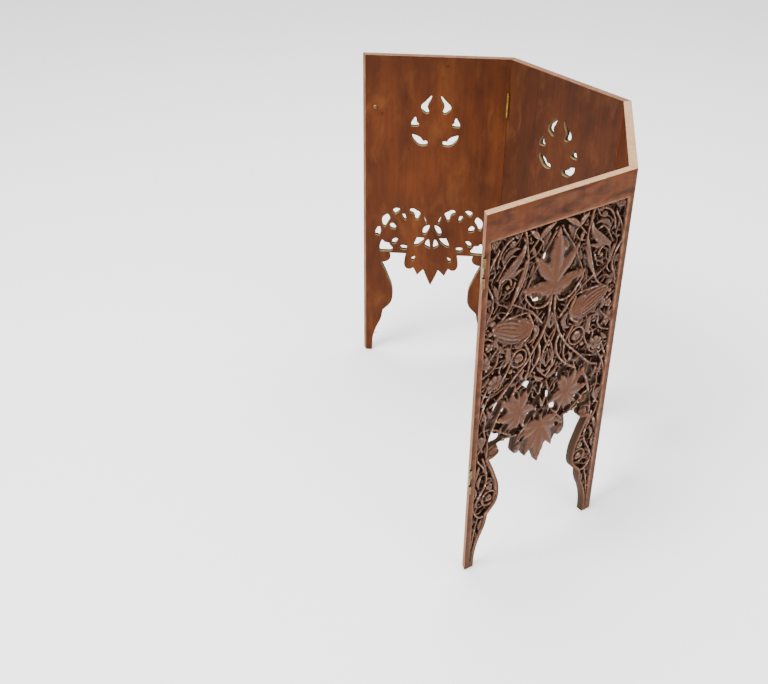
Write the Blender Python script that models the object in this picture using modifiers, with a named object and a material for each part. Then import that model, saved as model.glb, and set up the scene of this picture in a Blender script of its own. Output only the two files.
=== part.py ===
"""Folding carved stand: four mitred boards joined edge to edge by butt hinges, one half of an octagon.

The boards are called a, b, c and d, from left to right as seen from outside. Hinges ba and dc have their
pins on the inside, so plain faces fold together. Hinge cb has its pins on the outside, so carved faces fold
together.
Board a keeps two half hinges on its free edge, for joining a second stand.
"""

import math
from functools import partial

import bmesh
import bpy
from mathutils import Matrix, Vector

MM = 0.001

# Boards
HEIGHT = 0.540
WIDTH = 0.233  # outer face, from mitre point to mitre point
THICKNESS = 0.011
TURN = math.radians(47.0)  # between neighbouring boards, open
MITRE_GAP = 0.0006  # between the two mitred ends at a corner
TOP_RAIL = 0.036
STILE = 0.0085
FIELD_DEPTH = 0.003  # mean depth of the carved field
FIELD_FLOOR_MARGIN = 0.004  # plain band left over the arch

# Arch and legs
ARCH_HEIGHT = 0.1986
FOOT_WIDTH = 0.0154
LEG_BULGE = 0.0513  # widest point of a leg, from the board's side
LEG_NOTCH = 0.0347
BERRY_RADIUS = 0.0087
BERRY_OUT = 0.0386  # centre of the berry under the arch, from the board's side
PENDANT_HALF = 0.0455  # half width of the leaf that hangs in the arch
PENDANT_DROP = 0.0606  # from the arch down to the leaf's tip

# Butt hinges
HINGE_LENGTH = 0.039
HINGE_BELOW_TOP = 0.072  # upper hinges, centre below the top edge
HINGE_ABOVE_FLOOR = 0.159  # lower hinges, centre
KNUCKLE_RADIUS = 0.0021
PIN_RADIUS = 0.0011
PIN_CLEARANCE = 0.0003
PIN_OFFSET = 0.0015  # pin centre beyond the corner of the boards
LEAF_WIDTH = 0.0115  # from the pin's centre
LEAF_THICKNESS = 0.0009
LEAF_FACE = 0.0002  # leaf's inner face from the plane between the two boards
CLEARANCE = 0.0003
KNUCKLE_GAP = 0.0003

# Countersunk wood screws
SCREW_HEAD_RADIUS = 0.0018
SCREW_RADIUS = 0.0009
SCREW_LENGTH = 0.0060
SCREW_SPACING = 0.026
SCREW_FROM_PIN = 0.0070
SCREW_SLOT = 0.0005
SCREW_CLEARANCE = 0.00015
ROUND_HEAD_RADIUS = 0.0036
REPAIR_PIN_RADIUS = 0.0006
REPAIR_PIN_LENGTH = 0.0120
REPAIR_PIN_HEIGHT = 0.033

HALF_WIDTH = WIDTH / 2
HALF_FIELD = HALF_WIDTH - STILE
HALF_TURN = TURN / 2
MITRE_LENGTH = THICKNESS / math.cos(HALF_TURN)
LOW = HINGE_ABOVE_FLOOR
HIGH = HEIGHT - HINGE_BELOW_TOP
HINGE_HEIGHTS = {"lower": LOW, "upper": HIGH}
FIELD_TOP = HEIGHT - TOP_RAIL


def clear_scene():
    for thing in list(bpy.data.objects):
        bpy.data.objects.remove(thing, do_unlink=True)


def new_collection(name):
    collection = bpy.data.collections.new(name)
    bpy.context.scene.collection.children.link(collection)
    return collection


def material(name, color, roughness, metallic=0.0):
    made = bpy.data.materials.new(name)
    made.use_nodes = True
    shader = made.node_tree.nodes["Principled BSDF"]
    shader.inputs["Base Color"].default_value = (*color, 1.0)
    shader.inputs["Roughness"].default_value = roughness
    shader.inputs["Metallic"].default_value = metallic
    made.diffuse_color = (*color, 1.0)
    return made


# ---------------------------------------------------------------- the plan, seen from above


def along(angle):
    return Vector((math.cos(angle), math.sin(angle), 0.0))


def board_angle(index):
    """Direction of board a, b, c or d, for index 0 to 3, walking round the outside."""
    return math.pi + (index - 1.5) * TURN


def outer_corners():
    """The five outer corners, from the free edge of a to the free edge of d, centred on the stand's box."""
    corners = [Vector((0.0, 0.0, 0.0))]
    for index in range(4):
        corners.append(corners[-1] + WIDTH * along(board_angle(index)))
    free_pin = corners[0] + PIN_OFFSET * along(board_angle(0) - HALF_TURN - math.pi / 2)
    apex_top = corners[2].y + PIN_OFFSET + KNUCKLE_RADIUS
    middle = Vector((
        (free_pin.x + KNUCKLE_RADIUS + corners[4].x) / 2,
        (apex_top + free_pin.y - KNUCKLE_RADIUS) / 2,
        0.0,
    ))
    return [corner - middle for corner in corners]


CORNERS = outer_corners()


def board_matrix(index):
    """Board frame: X along the outer face, Y into the stand, Z up, from the left outer corner."""
    return Matrix.Translation(CORNERS[index]) @ Matrix.Rotation(board_angle(index), 4, "Z")


def hinge_frame(corner, inside):
    """Frame of a hinge at a corner: origin on the pin at floor level, X along its leaves into the wood."""
    inward = along(board_angle(corner) - HALF_TURN + math.pi / 2)
    if inside:
        pin = CORNERS[corner] + (MITRE_LENGTH + PIN_OFFSET) * inward
        heading = inward.to_2d().angle_signed(Vector((1.0, 0.0))) + math.pi
    else:
        pin = CORNERS[corner] - PIN_OFFSET * inward
        heading = inward.to_2d().angle_signed(Vector((1.0, 0.0)))
    return Matrix.Translation(pin) @ Matrix.Rotation(heading, 4, "Z")


HINGES = {
    "a_free": hinge_frame(0, inside=False),
    "ba": hinge_frame(1, inside=True),
    "cb": hinge_frame(2, inside=False),
    "dc": hinge_frame(3, inside=True),
}


# ---------------------------------------------------------------- meshes


def mesh_object(name, collection, fill):
    """A new object whose mesh is filled by a function that takes a bmesh."""
    mesh = bpy.data.meshes.new(name)
    shape = bmesh.new()
    fill(shape)
    shape.to_mesh(mesh)
    shape.free()
    thing = bpy.data.objects.new(name, mesh)
    collection.objects.link(thing)
    return thing


def add_box(shape, low, high):
    size = Vector(high) - Vector(low)
    middle = (Vector(high) + Vector(low)) / 2
    place = Matrix.Translation(middle) @ Matrix.Diagonal((*size, 1.0))
    bmesh.ops.create_cube(shape, size=1.0, matrix=place)


def add_cylinder(shape, radius, low, high, segments=16, end_radius=None, place=None):
    """A cylinder or cone along Z from low to high, moved by an optional matrix."""
    matrix = Matrix.Translation((0.0, 0.0, (low + high) / 2))
    bmesh.ops.create_cone(
        shape,
        cap_ends=True,
        segments=segments,
        radius1=radius,
        radius2=radius if end_radius is None else end_radius,
        depth=high - low,
        matrix=(place @ matrix) if place else matrix,
    )


def cutter(name, fill, matrix=None):
    thing = mesh_object(name, CUTTERS, fill)
    if matrix:
        thing.matrix_world = matrix
    thing.hide_render = True
    thing.display_type = "WIRE"
    return thing


def boolean(thing, other, operation="DIFFERENCE"):
    step = thing.modifiers.new(other.name, "BOOLEAN")
    step.operation = operation
    step.object = other
    step.solver = "EXACT"


def evaluated_mesh(thing, name):
    """The object's mesh with its modifiers or its curve worked out, welded."""
    bpy.context.view_layer.update()
    ready = thing.evaluated_get(bpy.context.evaluated_depsgraph_get())
    mesh = bpy.data.meshes.new_from_object(ready)
    mesh.name = name
    shape = bmesh.new()
    shape.from_mesh(mesh)
    bmesh.ops.remove_doubles(shape, verts=shape.verts, dist=0.000001)
    shape.to_mesh(mesh)
    shape.free()
    return mesh


# ---------------------------------------------------------------- the board's outline


def half_outline():
    """The outline of the left half below the top edge, foot to centre line, as (x, z, smooth)."""
    berry = (BERRY_OUT, ARCH_HEIGHT - BERRY_RADIUS)
    centre = HALF_WIDTH
    half = PENDANT_HALF
    tip = ARCH_HEIGHT - PENDANT_DROP
    return [
        (FOOT_WIDTH, 0.0, False),
        (FOOT_WIDTH + 0.002, 0.027, True),
        (FOOT_WIDTH + 0.006, 0.0424, True),
        (LEG_NOTCH - 0.002, 0.0714, True),
        (LEG_NOTCH, 0.0841, False),
        (LEG_BULGE - 0.0013, 0.104, True),
        (LEG_BULGE, 0.1215, True),
        (LEG_BULGE - 0.009, ARCH_HEIGHT - 0.0446, True),
        (BERRY_OUT - BERRY_RADIUS + 0.001, ARCH_HEIGHT - 0.0186, False),
        (berry[0], berry[1] - BERRY_RADIUS, True),
        (berry[0] + BERRY_RADIUS, berry[1], True),
        (berry[0] + 0.75 * BERRY_RADIUS, ARCH_HEIGHT, False),
        (centre - 0.947 * half, ARCH_HEIGHT, False),
        (centre - 0.996 * half, ARCH_HEIGHT - 0.0126, True),
        (centre - half, ARCH_HEIGHT - 0.0226, True),
        (centre - 0.901 * half, ARCH_HEIGHT - 0.0290, True),
        (centre - 0.802 * half, ARCH_HEIGHT - 0.0300, True),
        (centre - 0.659 * half, ARCH_HEIGHT - 0.0266, False),
        (centre - 0.593 * half, ARCH_HEIGHT - 0.0326, True),
        (centre - 0.512 * half, ARCH_HEIGHT - 0.0411, False),
        (centre - 0.407 * half, ARCH_HEIGHT - 0.0356, True),
        (centre - 0.279 * half, ARCH_HEIGHT - 0.0294, False),
        (centre - 0.204 * half, ARCH_HEIGHT - 0.0386, True),
        (centre, tip, False),
    ]


def closed_spline(curve, points, steps):
    """A closed Bezier spline through (x, z, smooth) points: smooth ones have automatic handles."""
    spline = curve.splines.new("BEZIER")
    spline.bezier_points.add(len(points) - 1)
    for knot, (x, z, smooth) in zip(spline.bezier_points, points):
        knot.co = (x, z, 0.0)
        knot.handle_left_type = "AUTO" if smooth else "VECTOR"
        knot.handle_right_type = knot.handle_left_type
    spline.use_cyclic_u = True
    spline.resolution_u = steps


def hole_outlines():
    """The pierced holes of the left half, as corner points in mm from the centre line and from a datum.

    The two datums are the top of the carved field, for the holes round the upper leaf, and the arch, for the
    holes round the lower leaves. Widths are drawn on a field 216 mm wide and follow the real field's width.
    """
    from_top = [
        [
            (7, -25), (9.5, -27.5), (15.5, -34.2), (23.5, -44), (23.8, -47.5), (19, -52.8), (14, -55.6),
            (10.8, -54.5), (11, -51), (13.3, -43.3), (9.6, -35.6), (7.2, -29),
        ],
        [
            (32.2, -60.3), (34.5, -64.2), (38.4, -72.4), (38.4, -77), (33, -77.3), (26.3, -76),
            (26.3, -72.6), (29.2, -70.3), (30.5, -64),
        ],
        [
            (37, -90), (30, -92), (23, -95.5), (18, -101.2), (14.5, -100.4), (12, -103.8),
            (12.4, -107.5), (18, -109.6), (25, -108.8), (31.5, -103.5), (36, -97),
        ],
    ]
    from_arch = [
        [(54.5, 83.4), (60, 84.4), (66.8, 80.4), (66, 77.2), (62, 72.2), (57, 76.4), (54, 80.2)],
        [(45.5, 73.6), (49.5, 73.9), (52, 71.9), (49, 67.4), (46.5, 63.4), (43.5, 62.9), (44, 68.4)],
        [
            (37.5, 82.4), (33, 84.6), (27, 81.9), (21, 77.9), (20, 74.4), (22.5, 68.6), (24.5, 63.6),
            (27.5, 63.9), (29, 69.4), (31, 74.1), (37.5, 78.1),
        ],
        [(14, 71.4), (15.5, 70.4), (13, 64.1), (11, 57.9), (9.5, 58.9), (10.4, 63.1)],
        [
            (74.5, 73.1), (78.3, 70.9), (83, 65.4), (84, 60.4), (83.5, 53.4), (81, 48.2), (79, 48.7),
            (75, 55.4), (71.3, 61.4), (71.5, 68.9),
        ],
        [
            (90.5, 49.1), (87, 48.5), (86, 41.4), (87.5, 33.4), (89, 30.7), (91.5, 32.9), (95, 32.5),
            (95.4, 38.2), (93, 44.5),
        ],
        [(66.5, 56.4), (69.5, 54.9), (70.8, 49.9), (70, 46.9), (62, 44.2), (60.2, 47.9), (62, 52.9)],
        [
            (4.2, 55.6), (8, 54.4), (13, 50.9), (15.3, 45.4), (15.4, 37.7), (12, 36.9), (7.5, 41.9),
            (4.8, 48.4),
        ],
        [
            (13, 31.1), (24.5, 31.5), (27, 25.4), (29.3, 18.4), (28.8, 14.5), (24.5, 15.6),
            (18.5, 20.2), (13.5, 25.7),
        ],
        [
            (4.8, 28.9), (8, 26.5), (10.5, 21.4), (11.8, 17.4), (7.5, 13.1), (3, 11.1), (2.8, 15.3),
            (3.4, 21.7),
        ],
        [(56.5, 26.9), (60, 28.4), (65, 26.2), (67, 22.4), (66.5, 17.5), (63, 16.9), (59, 20.4)],
        [(41.5, 14.4), (46, 15.5), (51.5, 14.8), (54, 11.9), (50.5, 7.6), (42, 7.1)],
        [
            (83.5, 24.9), (78.5, 19.9), (72.5, 18.9), (69, 13.4), (65.5, 9.4), (68.5, 3.3), (72, 2.8),
            (80, 2.6), (87, 2.3), (88.2, 6.4), (87.3, 12.4), (85.8, 19.4),
        ],
        [(26.5, -4.1), (29.5, -5.1), (34, -9.6), (33.3, -12.6), (29.8, -14.1), (27.5, -8.6)],
    ]
    stretch = HALF_FIELD / 0.108
    for datum, outlines in ((FIELD_TOP, from_top), (ARCH_HEIGHT, from_arch)):
        for outline in outlines:
            yield [(x * MM * stretch, datum + z * MM) for x, z in outline]


def board_blank(collection):
    """The pierced board before its ends are mitred: a flat curve, then a mesh in the board's own frame."""
    curve = bpy.data.curves.new("board_outline", "CURVE")
    curve.dimensions = "2D"
    curve.fill_mode = "BOTH"
    curve.extrude = THICKNESS / 2
    left = half_outline()
    right = [(WIDTH - x, z, smooth) for x, z, smooth in reversed(left[:-1])]
    ends = [(WIDTH, 0.0, False), (WIDTH, HEIGHT, False), (0.0, HEIGHT, False), (0.0, 0.0, False)]
    closed_spline(curve, left + right + ends, 3)
    for outline in hole_outlines():
        for side in (-1, 1):
            points = [(HALF_WIDTH + side * x, z, False) for x, z in outline]
            closed_spline(curve, points, 1)
    blank = bpy.data.objects.new("board_outline", curve)
    collection.objects.link(blank)
    mesh = evaluated_mesh(blank, "board_blank")
    stand_up = Matrix.Translation((0.0, THICKNESS / 2, 0.0)) @ Matrix.Rotation(math.pi / 2, 4, "X")
    mesh.transform(stand_up)
    bpy.data.objects.remove(blank)
    bpy.data.curves.remove(curve)
    return mesh


def fill_mitre_wedge(shape, right):
    """Everything beyond one mitred end, in the board's frame."""
    reach = 4 * THICKNESS
    setback = MITRE_GAP / 2
    add_box(shape, (-reach, -reach, -reach), (setback, reach, HEIGHT + reach))
    tilt = Matrix.Rotation(-HALF_TURN, 4, "Z")
    bmesh.ops.transform(shape, matrix=tilt, verts=shape.verts)
    if right:
        flip = Matrix.Translation((WIDTH, 0.0, 0.0)) @ Matrix.Rotation(math.pi, 4, "Y")
        up = Matrix.Translation((0.0, 0.0, HEIGHT))
        bmesh.ops.transform(shape, matrix=up @ flip, verts=shape.verts)


def fill_field(shape):
    low = (STILE, -THICKNESS, ARCH_HEIGHT + FIELD_FLOOR_MARGIN)
    add_box(shape, low, (WIDTH - STILE, FIELD_DEPTH, FIELD_TOP))


def fill_leaf_seat(shape):
    """The shallow seat of one leaf in the end of a board, both sides of the hinge plane."""
    half = HINGE_LENGTH / 2 + CLEARANCE
    deep = LEAF_FACE + LEAF_THICKNESS + CLEARANCE
    add_box(shape, (-2 * KNUCKLE_RADIUS, -deep, -half), (LEAF_WIDTH + CLEARANCE, deep, half))


def fill_knuckle_seat(shape):
    half = HINGE_LENGTH / 2 + CLEARANCE
    add_cylinder(shape, KNUCKLE_RADIUS + CLEARANCE, -half, half, segments=20)


def fill_screw_holes(shape):
    """The pilot holes of one hinge's screws, on both sides of the hinge plane."""
    deep = LEAF_FACE + SCREW_LENGTH + SCREW_CLEARANCE
    lie = Matrix.Rotation(math.pi / 2, 4, "X")
    for height in (-SCREW_SPACING / 2, SCREW_SPACING / 2):
        place = Matrix.Translation((SCREW_FROM_PIN, 0.0, height)) @ lie
        add_cylinder(shape, SCREW_RADIUS + SCREW_CLEARANCE, -deep, deep, segments=10, place=place)


def cut_hinge_seats(board, hinge):
    for level, height in HINGE_HEIGHTS.items():
        place = HINGES[hinge] @ Matrix.Translation((0.0, 0.0, height))
        for kind, fill in (
            ("leaf_seat", fill_leaf_seat),
            ("knuckle_seat", fill_knuckle_seat),
            ("screw_holes", fill_screw_holes),
        ):
            name = f"cut_{hinge}_{level}_{kind}"
            tool = bpy.data.objects.get(name) or cutter(name, fill, place)
            boolean(board, tool)


def boards():
    blank = board_blank(PARTS)
    wood = material("walnut_board", (0.19, 0.055, 0.024), 0.42)
    blank.materials.append(wood)
    wedges = [partial(fill_mitre_wedge, right=right) for right in (False, True)]
    made = {}
    for index, letter in enumerate("abcd"):
        board = bpy.data.objects.new(f"panel_{letter}", blank)
        PARTS.objects.link(board)
        board.matrix_world = board_matrix(index)
        for number, fill in enumerate(wedges + [fill_field]):
            boolean(board, cutter(f"cut_panel_{letter}_{number}", fill, board_matrix(index)))
        made[letter] = board
    joined = {"a": ("a_free", "ba"), "b": ("ba", "cb"), "c": ("cb", "dc"), "d": ("dc",)}
    for letter, hinges in joined.items():
        for hinge in hinges:
            cut_hinge_seats(made[letter], hinge)
    boolean(made["d"], cutter("cut_round_head", fill_round_head_seat, round_head_place()))
    boolean(made["d"], cutter("cut_repair_pin", fill_repair_pin_hole, repair_pin_place()))
    return made


# ---------------------------------------------------------------- hinges


def knuckle_spans(outer):
    """The stretches of the barrel held by one leaf: the two outer knuckles, or the middle one."""
    edge = HINGE_LENGTH / 2
    third = HINGE_LENGTH / 6
    gap = KNUCKLE_GAP / 2
    if outer:
        return [(-edge, -third - gap), (third + gap, edge)]
    return [(-third + gap, third - gap)]


def leaf_mesh(outer):
    """One leaf on the +Y side of the hinge plane, with its knuckles round Z, bored for the pin."""
    word = "outer" if outer else "middle"
    half = HINGE_LENGTH / 2
    face = (0.0, LEAF_FACE, -half), (LEAF_WIDTH, LEAF_FACE + LEAF_THICKNESS, half)
    plate = mesh_object(f"leaf_{word}", CUTTERS, partial(add_box, low=face[0], high=face[1]))
    for low, high in knuckle_spans(not outer):
        ends = {"low": low - KNUCKLE_GAP / 2, "high": high + KNUCKLE_GAP / 2}
        room = partial(add_cylinder, radius=KNUCKLE_RADIUS + CLEARANCE, segments=20, **ends)
        boolean(plate, cutter(f"room_{word}", room))
    for low, high in knuckle_spans(outer):
        barrel = partial(add_cylinder, radius=KNUCKLE_RADIUS, low=low, high=high, segments=20)
        boolean(plate, cutter(f"barrel_{word}", barrel), "UNION")
    reach = HINGE_LENGTH
    bore = partial(add_cylinder, radius=PIN_RADIUS + PIN_CLEARANCE, low=-reach, high=reach, segments=14)
    boolean(plate, cutter(f"bore_{word}", bore))
    boolean(plate, cutter(f"countersinks_{word}", fill_countersinks))
    mesh = evaluated_mesh(plate, f"leaf_{word}")
    bpy.data.objects.remove(plate)
    return mesh


def fill_countersinks(shape):
    """Two 90 degree countersinks from the leaf's inner face, run past both its faces."""
    lie = Matrix.Rotation(-math.pi / 2, 4, "X")  # Z of the screw runs along +Y, into the wood
    run_out = LEAF_THICKNESS / 2
    at_face = SCREW_HEAD_RADIUS + SCREW_CLEARANCE
    low = LEAF_FACE - run_out
    high = LEAF_FACE + LEAF_THICKNESS + run_out
    for height in (-SCREW_SPACING / 2, SCREW_SPACING / 2):
        place = Matrix.Translation((SCREW_FROM_PIN, 0.0, height)) @ lie
        small = at_face - LEAF_THICKNESS - run_out
        add_cylinder(shape, at_face + run_out, low, high, segments=14, end_radius=small, place=place)


def screw_mesh():
    """A slotted countersunk wood screw: head flush with the leaf, along +Z into the wood."""
    taper = SCREW_HEAD_RADIUS - SCREW_RADIUS
    profile = [
        (0.0, SCREW_LENGTH),
        (SCREW_RADIUS, SCREW_LENGTH - 0.0022),
        (SCREW_RADIUS, taper),
        (SCREW_HEAD_RADIUS, 0.0),
        (0.0, 0.0),
    ]
    mesh = bpy.data.meshes.new("screw_profile")
    mesh.from_pydata([(x, 0.0, z) for x, z in profile], [(i, i + 1) for i in range(4)], [])
    turned = bpy.data.objects.new("screw_profile", mesh)
    CUTTERS.objects.link(turned)
    spin = turned.modifiers.new("turn", "SCREW")
    spin.steps = spin.render_steps = 12
    spin.use_merge_vertices = True
    spin.merge_threshold = 0.00001
    half = SCREW_SLOT / 2
    past = 2 * SCREW_HEAD_RADIUS
    slot = partial(add_box, low=(-past, -half, -SCREW_SLOT), high=(past, half, SCREW_SLOT))
    boolean(turned, cutter("screw_slot", slot))
    made = evaluated_mesh(turned, "wood_screw")
    bpy.data.objects.remove(turned)
    return made


def place_copy(name, mesh, matrix):
    thing = bpy.data.objects.new(name, mesh)
    PARTS.objects.link(thing)
    thing.matrix_world = matrix
    return thing


def hinge_leaf(name, mesh, screw, place, side):
    """One leaf and its two screws, on side +1 or -1 of the hinge plane."""
    turn = Matrix.Identity(4) if side > 0 else Matrix.Rotation(math.pi, 4, "X")
    made = [place_copy(name, mesh, place @ turn)]
    into_wood = Matrix.Rotation(-math.pi / 2, 4, "X")
    for number, height in enumerate((-SCREW_SPACING / 2, SCREW_SPACING / 2), start=1):
        head = Matrix.Translation((SCREW_FROM_PIN, LEAF_FACE, height))
        made.append(place_copy(f"{name}_screw_{number}", screw, place @ turn @ head @ into_wood))
    return made


def hinges():
    """All leaves, pins and screws, grouped by the board that carries them."""
    brass = material("brass_hinge", (0.58, 0.36, 0.11), 0.35, 1.0)
    steel = material("steel_pin", (0.42, 0.40, 0.37), 0.4, 1.0)
    outer = leaf_mesh(outer=True)
    middle = leaf_mesh(outer=False)
    screw = screw_mesh()
    half = HINGE_LENGTH / 2
    rod = partial(add_cylinder, radius=PIN_RADIUS, low=-half, high=half, segments=12)
    pin = mesh_object("hinge_pin", CUTTERS, rod)
    for mesh in (outer, middle, screw):
        mesh.materials.append(brass)
    pin.data.materials.append(steel)
    carried = {letter: [] for letter in "abcd"}
    # hinge: board on the +Y side, board on the -Y side, board that keeps the outer knuckles and the pin
    layout = {"ba": ("b", "a", "b"), "cb": ("b", "c", "c"), "dc": ("d", "c", "c")}
    for hinge, (plus, minus, keeper) in layout.items():
        for level, height in HINGE_HEIGHTS.items():
            place = HINGES[hinge] @ Matrix.Translation((0.0, 0.0, height))
            for letter, side in ((plus, 1), (minus, -1)):
                mesh = outer if letter == keeper else middle
                name = f"{level}_leaf_{hinge}_on_{letter}"
                carried[letter] += hinge_leaf(name, mesh, screw, place, side)
            carried[keeper].append(place_copy(f"{level}_pin_{hinge}", pin.data, place))
    for level, height in HINGE_HEIGHTS.items():
        place = HINGES["a_free"] @ Matrix.Translation((0.0, 0.0, height))
        carried["a"] += hinge_leaf(f"{level}_half_hinge_a", outer, screw, place, -1)
    bpy.data.objects.remove(pin)
    return carried


# ---------------------------------------------------------------- small repairs on board d


def round_head_place():
    """A round-headed screw on the plain face of d, in line with the upper hinges."""
    at = Matrix.Translation((WIDTH - 0.021, THICKNESS, HIGH - 0.011))
    return board_matrix(3) @ at @ Matrix.Rotation(math.pi / 2, 4, "X")


def fill_round_head_seat(shape):
    add_cylinder(shape, SCREW_RADIUS + SCREW_CLEARANCE, -0.001, SCREW_LENGTH + 0.0003, segments=10)


def round_head_screw():
    """Shank along +Z into the wood, low dome above it."""
    dome = 0.0018
    seat = -CLEARANCE
    profile = [(0.0, SCREW_LENGTH), (SCREW_RADIUS, SCREW_LENGTH - 0.002), (SCREW_RADIUS, seat)]
    for step in range(5):
        angle = step * math.pi / 8
        profile.append((ROUND_HEAD_RADIUS * math.cos(angle), seat - dome * math.sin(angle)))
    mesh = bpy.data.meshes.new("round_head_profile")
    mesh.from_pydata([(x, 0.0, z) for x, z in profile], [(i, i + 1) for i in range(len(profile) - 1)], [])
    screw = place_copy("round_head_screw_d", mesh, round_head_place())
    spin = screw.modifiers.new("turn", "SCREW")
    spin.steps = spin.render_steps = 12
    spin.use_merge_vertices = True
    spin.merge_threshold = 0.00001
    mesh.materials.append(material("round_head_brass", (0.40, 0.26, 0.10), 0.5, 1.0))
    return screw


def repair_pin_place():
    """A headless pin driven into the inner edge of d's free leg, part of it standing out."""
    at = Matrix.Translation((WIDTH - FOOT_WIDTH + 0.0035, THICKNESS / 2, REPAIR_PIN_HEIGHT))
    return board_matrix(3) @ at @ Matrix.Rotation(-math.pi / 2, 4, "Y")


def fill_repair_pin_hole(shape):
    add_cylinder(shape, REPAIR_PIN_RADIUS + SCREW_CLEARANCE, -0.0003, 0.030, segments=10)


def repair_pin():
    rod = partial(add_cylinder, radius=REPAIR_PIN_RADIUS, low=0.0, high=REPAIR_PIN_LENGTH, segments=10)
    pin = mesh_object("repair_pin_d", PARTS, rod)
    pin.matrix_world = repair_pin_place()
    pin.data.materials.append(material("repair_pin_steel", (0.20, 0.17, 0.12), 0.6, 1.0))
    return pin


# ---------------------------------------------------------------- assembly


def pivot(name, hinge):
    empty = bpy.data.objects.new(name, None)
    empty.empty_display_size = 0.03
    PARTS.objects.link(empty)
    empty.matrix_world = HINGES[hinge]
    return empty


def hang(things, parent):
    bpy.context.view_layer.update()
    for thing in things:
        thing.parent = parent
        thing.matrix_parent_inverse = parent.matrix_world.inverted()


def main():
    made = boards()
    carried = hinges()
    carried["d"] += [round_head_screw(), repair_pin()]
    for letter in "abcd":
        for thing in carried[letter]:
            thing.data.shade_smooth()
            thing.data.set_sharp_from_angle(angle=math.radians(35))
    turning = {"b": pivot("joint_cb", "cb"), "a": pivot("joint_ba", "ba"), "d": pivot("joint_dc", "dc")}
    for letter in "abd":
        hang([made[letter]] + carried[letter], turning[letter])
    hang(carried["c"], made["c"])
    hang([turning["b"], turning["d"]], made["c"])
    hang([turning["a"]], made["b"])


clear_scene()
PARTS = new_collection("folding_stand")
CUTTERS = new_collection("cutters")
main()
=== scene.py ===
"""Looks of the folding carved stand: four pierced, carved walnut boards on brass butt hinges.

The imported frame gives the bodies, the hinge parts and their places. Each board is built here as one solid
whose outer face is a carved relief, and takes the place of the plain board of the frame. Lengths are in
millimetres until a mesh is made.
"""

import math
from functools import partial

import bmesh
import bpy
import numpy as np
from bpy.props import FloatProperty, PointerProperty, StringProperty
from mathutils import Matrix, Vector
from mathutils.geometry import delaunay_2d_cdt


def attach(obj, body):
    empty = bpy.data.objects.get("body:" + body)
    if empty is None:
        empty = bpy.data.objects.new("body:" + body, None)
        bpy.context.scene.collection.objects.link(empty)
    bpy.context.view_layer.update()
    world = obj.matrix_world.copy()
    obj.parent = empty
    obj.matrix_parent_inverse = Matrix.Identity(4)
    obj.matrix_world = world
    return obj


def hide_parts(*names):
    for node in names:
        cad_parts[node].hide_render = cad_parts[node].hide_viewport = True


bl_info = {
    "name": "Folding carved stand",
    "version": (1, 0, 0),
    "blender": (4, 5, 0),
    "location": "3D View > Sidebar > Stand",
    "description": "Builds a folding stand of four pierced and carved walnut boards",
    "category": "Object",
}

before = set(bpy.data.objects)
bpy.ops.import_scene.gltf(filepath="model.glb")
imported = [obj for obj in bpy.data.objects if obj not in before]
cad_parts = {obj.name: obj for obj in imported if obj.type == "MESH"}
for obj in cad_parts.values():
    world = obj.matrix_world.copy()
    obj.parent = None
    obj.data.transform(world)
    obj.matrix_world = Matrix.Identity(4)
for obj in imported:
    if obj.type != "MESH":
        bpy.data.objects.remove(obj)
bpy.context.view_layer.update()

MM = 0.001

# The boards, as in the frame
HEIGHT = 540.0
WIDTH = 233.0
THICKNESS = 11.0
TURN = math.radians(47.0)
HALF = WIDTH / 2
STILE = 8.5
FIELD_TOP = HEIGHT - 36.0
FIELD_FOOT = 9.0
ARCH = 198.6
MITRE = math.tan(TURN / 2)
END_SETBACK = 0.36
END_REACH = 12.0  # the mitre is taken up over this much of the board's width
AT_EDGE = 0.1  # what counts as on the board's own edge

# The carving, in mm
CREST = 0.9  # across the steep wall of a carved form
PENDANT_HALF = 46.5  # half width of the leaf that hangs in the arch
PENDANT_TOP = 201.0
PENDANT_GROUND = 3.0
LEG_TOP = 194.0  # below this a plain rim runs along the arch
RIM = 4.4
PAST_RIM = 6.0  # above it the carving runs out to the arch, and this far beyond
UNCARVED = 4.6  # deeper than this, the ground is still bare
LIP_DEPTH = 2.3  # the leaf edges that stand round each pierced hole
LIP_WIDTH = 2.0
FAR = 20.0  # a point's distance from the outlines, where it is more than REACH
REACH = 9.0
TANGLE = 620  # how many thin stems and leaflets lie under the main ones
TANGLE_SEED, GAPS_SEED = 7, 11

# The hinges, as in the frame
HINGE_HEIGHTS = (159.0, 468.0)
HINGE_HALF = 19.5
LEAF_REACH = 11.5
LEAF_DEEP = 1.1
KNUCKLE_RADIUS = 2.1
PIN_OFFSET = 1.5
ROOM = 0.3
SCREW_FROM_PIN = 7.0
SCREW_APART = 26.0
SCREW_DEEP = 6.4
SCREW_RADIUS = 1.05
ROUND_HEAD_AT = (WIDTH - 21.0, THICKNESS - 3.0, 457.0)
REPAIR_PIN_AT = (WIDTH - 15.4 - 6.0, THICKNESS / 2, 33.0)


# ---- sizes and colours


class StandSizes(bpy.types.PropertyGroup):
    """What a maker would change in the carving."""

    ground_depth: FloatProperty(
        name="Ground depth", description="Depth of the carved ground, in mm", default=5.4, min=1.0, max=8.0
    )
    grid_step: FloatProperty(
        name="Chisel step", description="Spacing of the surface's points, in mm", default=1.04, min=0.6
    )
    arris: FloatProperty(
        name="Arris", description="How much the edges are worn off, in mm", default=0.35, min=0.0, max=1.0
    )
    wander: FloatProperty(
        name="Wander", description="How far the carver's hand strays from the pattern, in mm", default=0.45
    )


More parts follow.
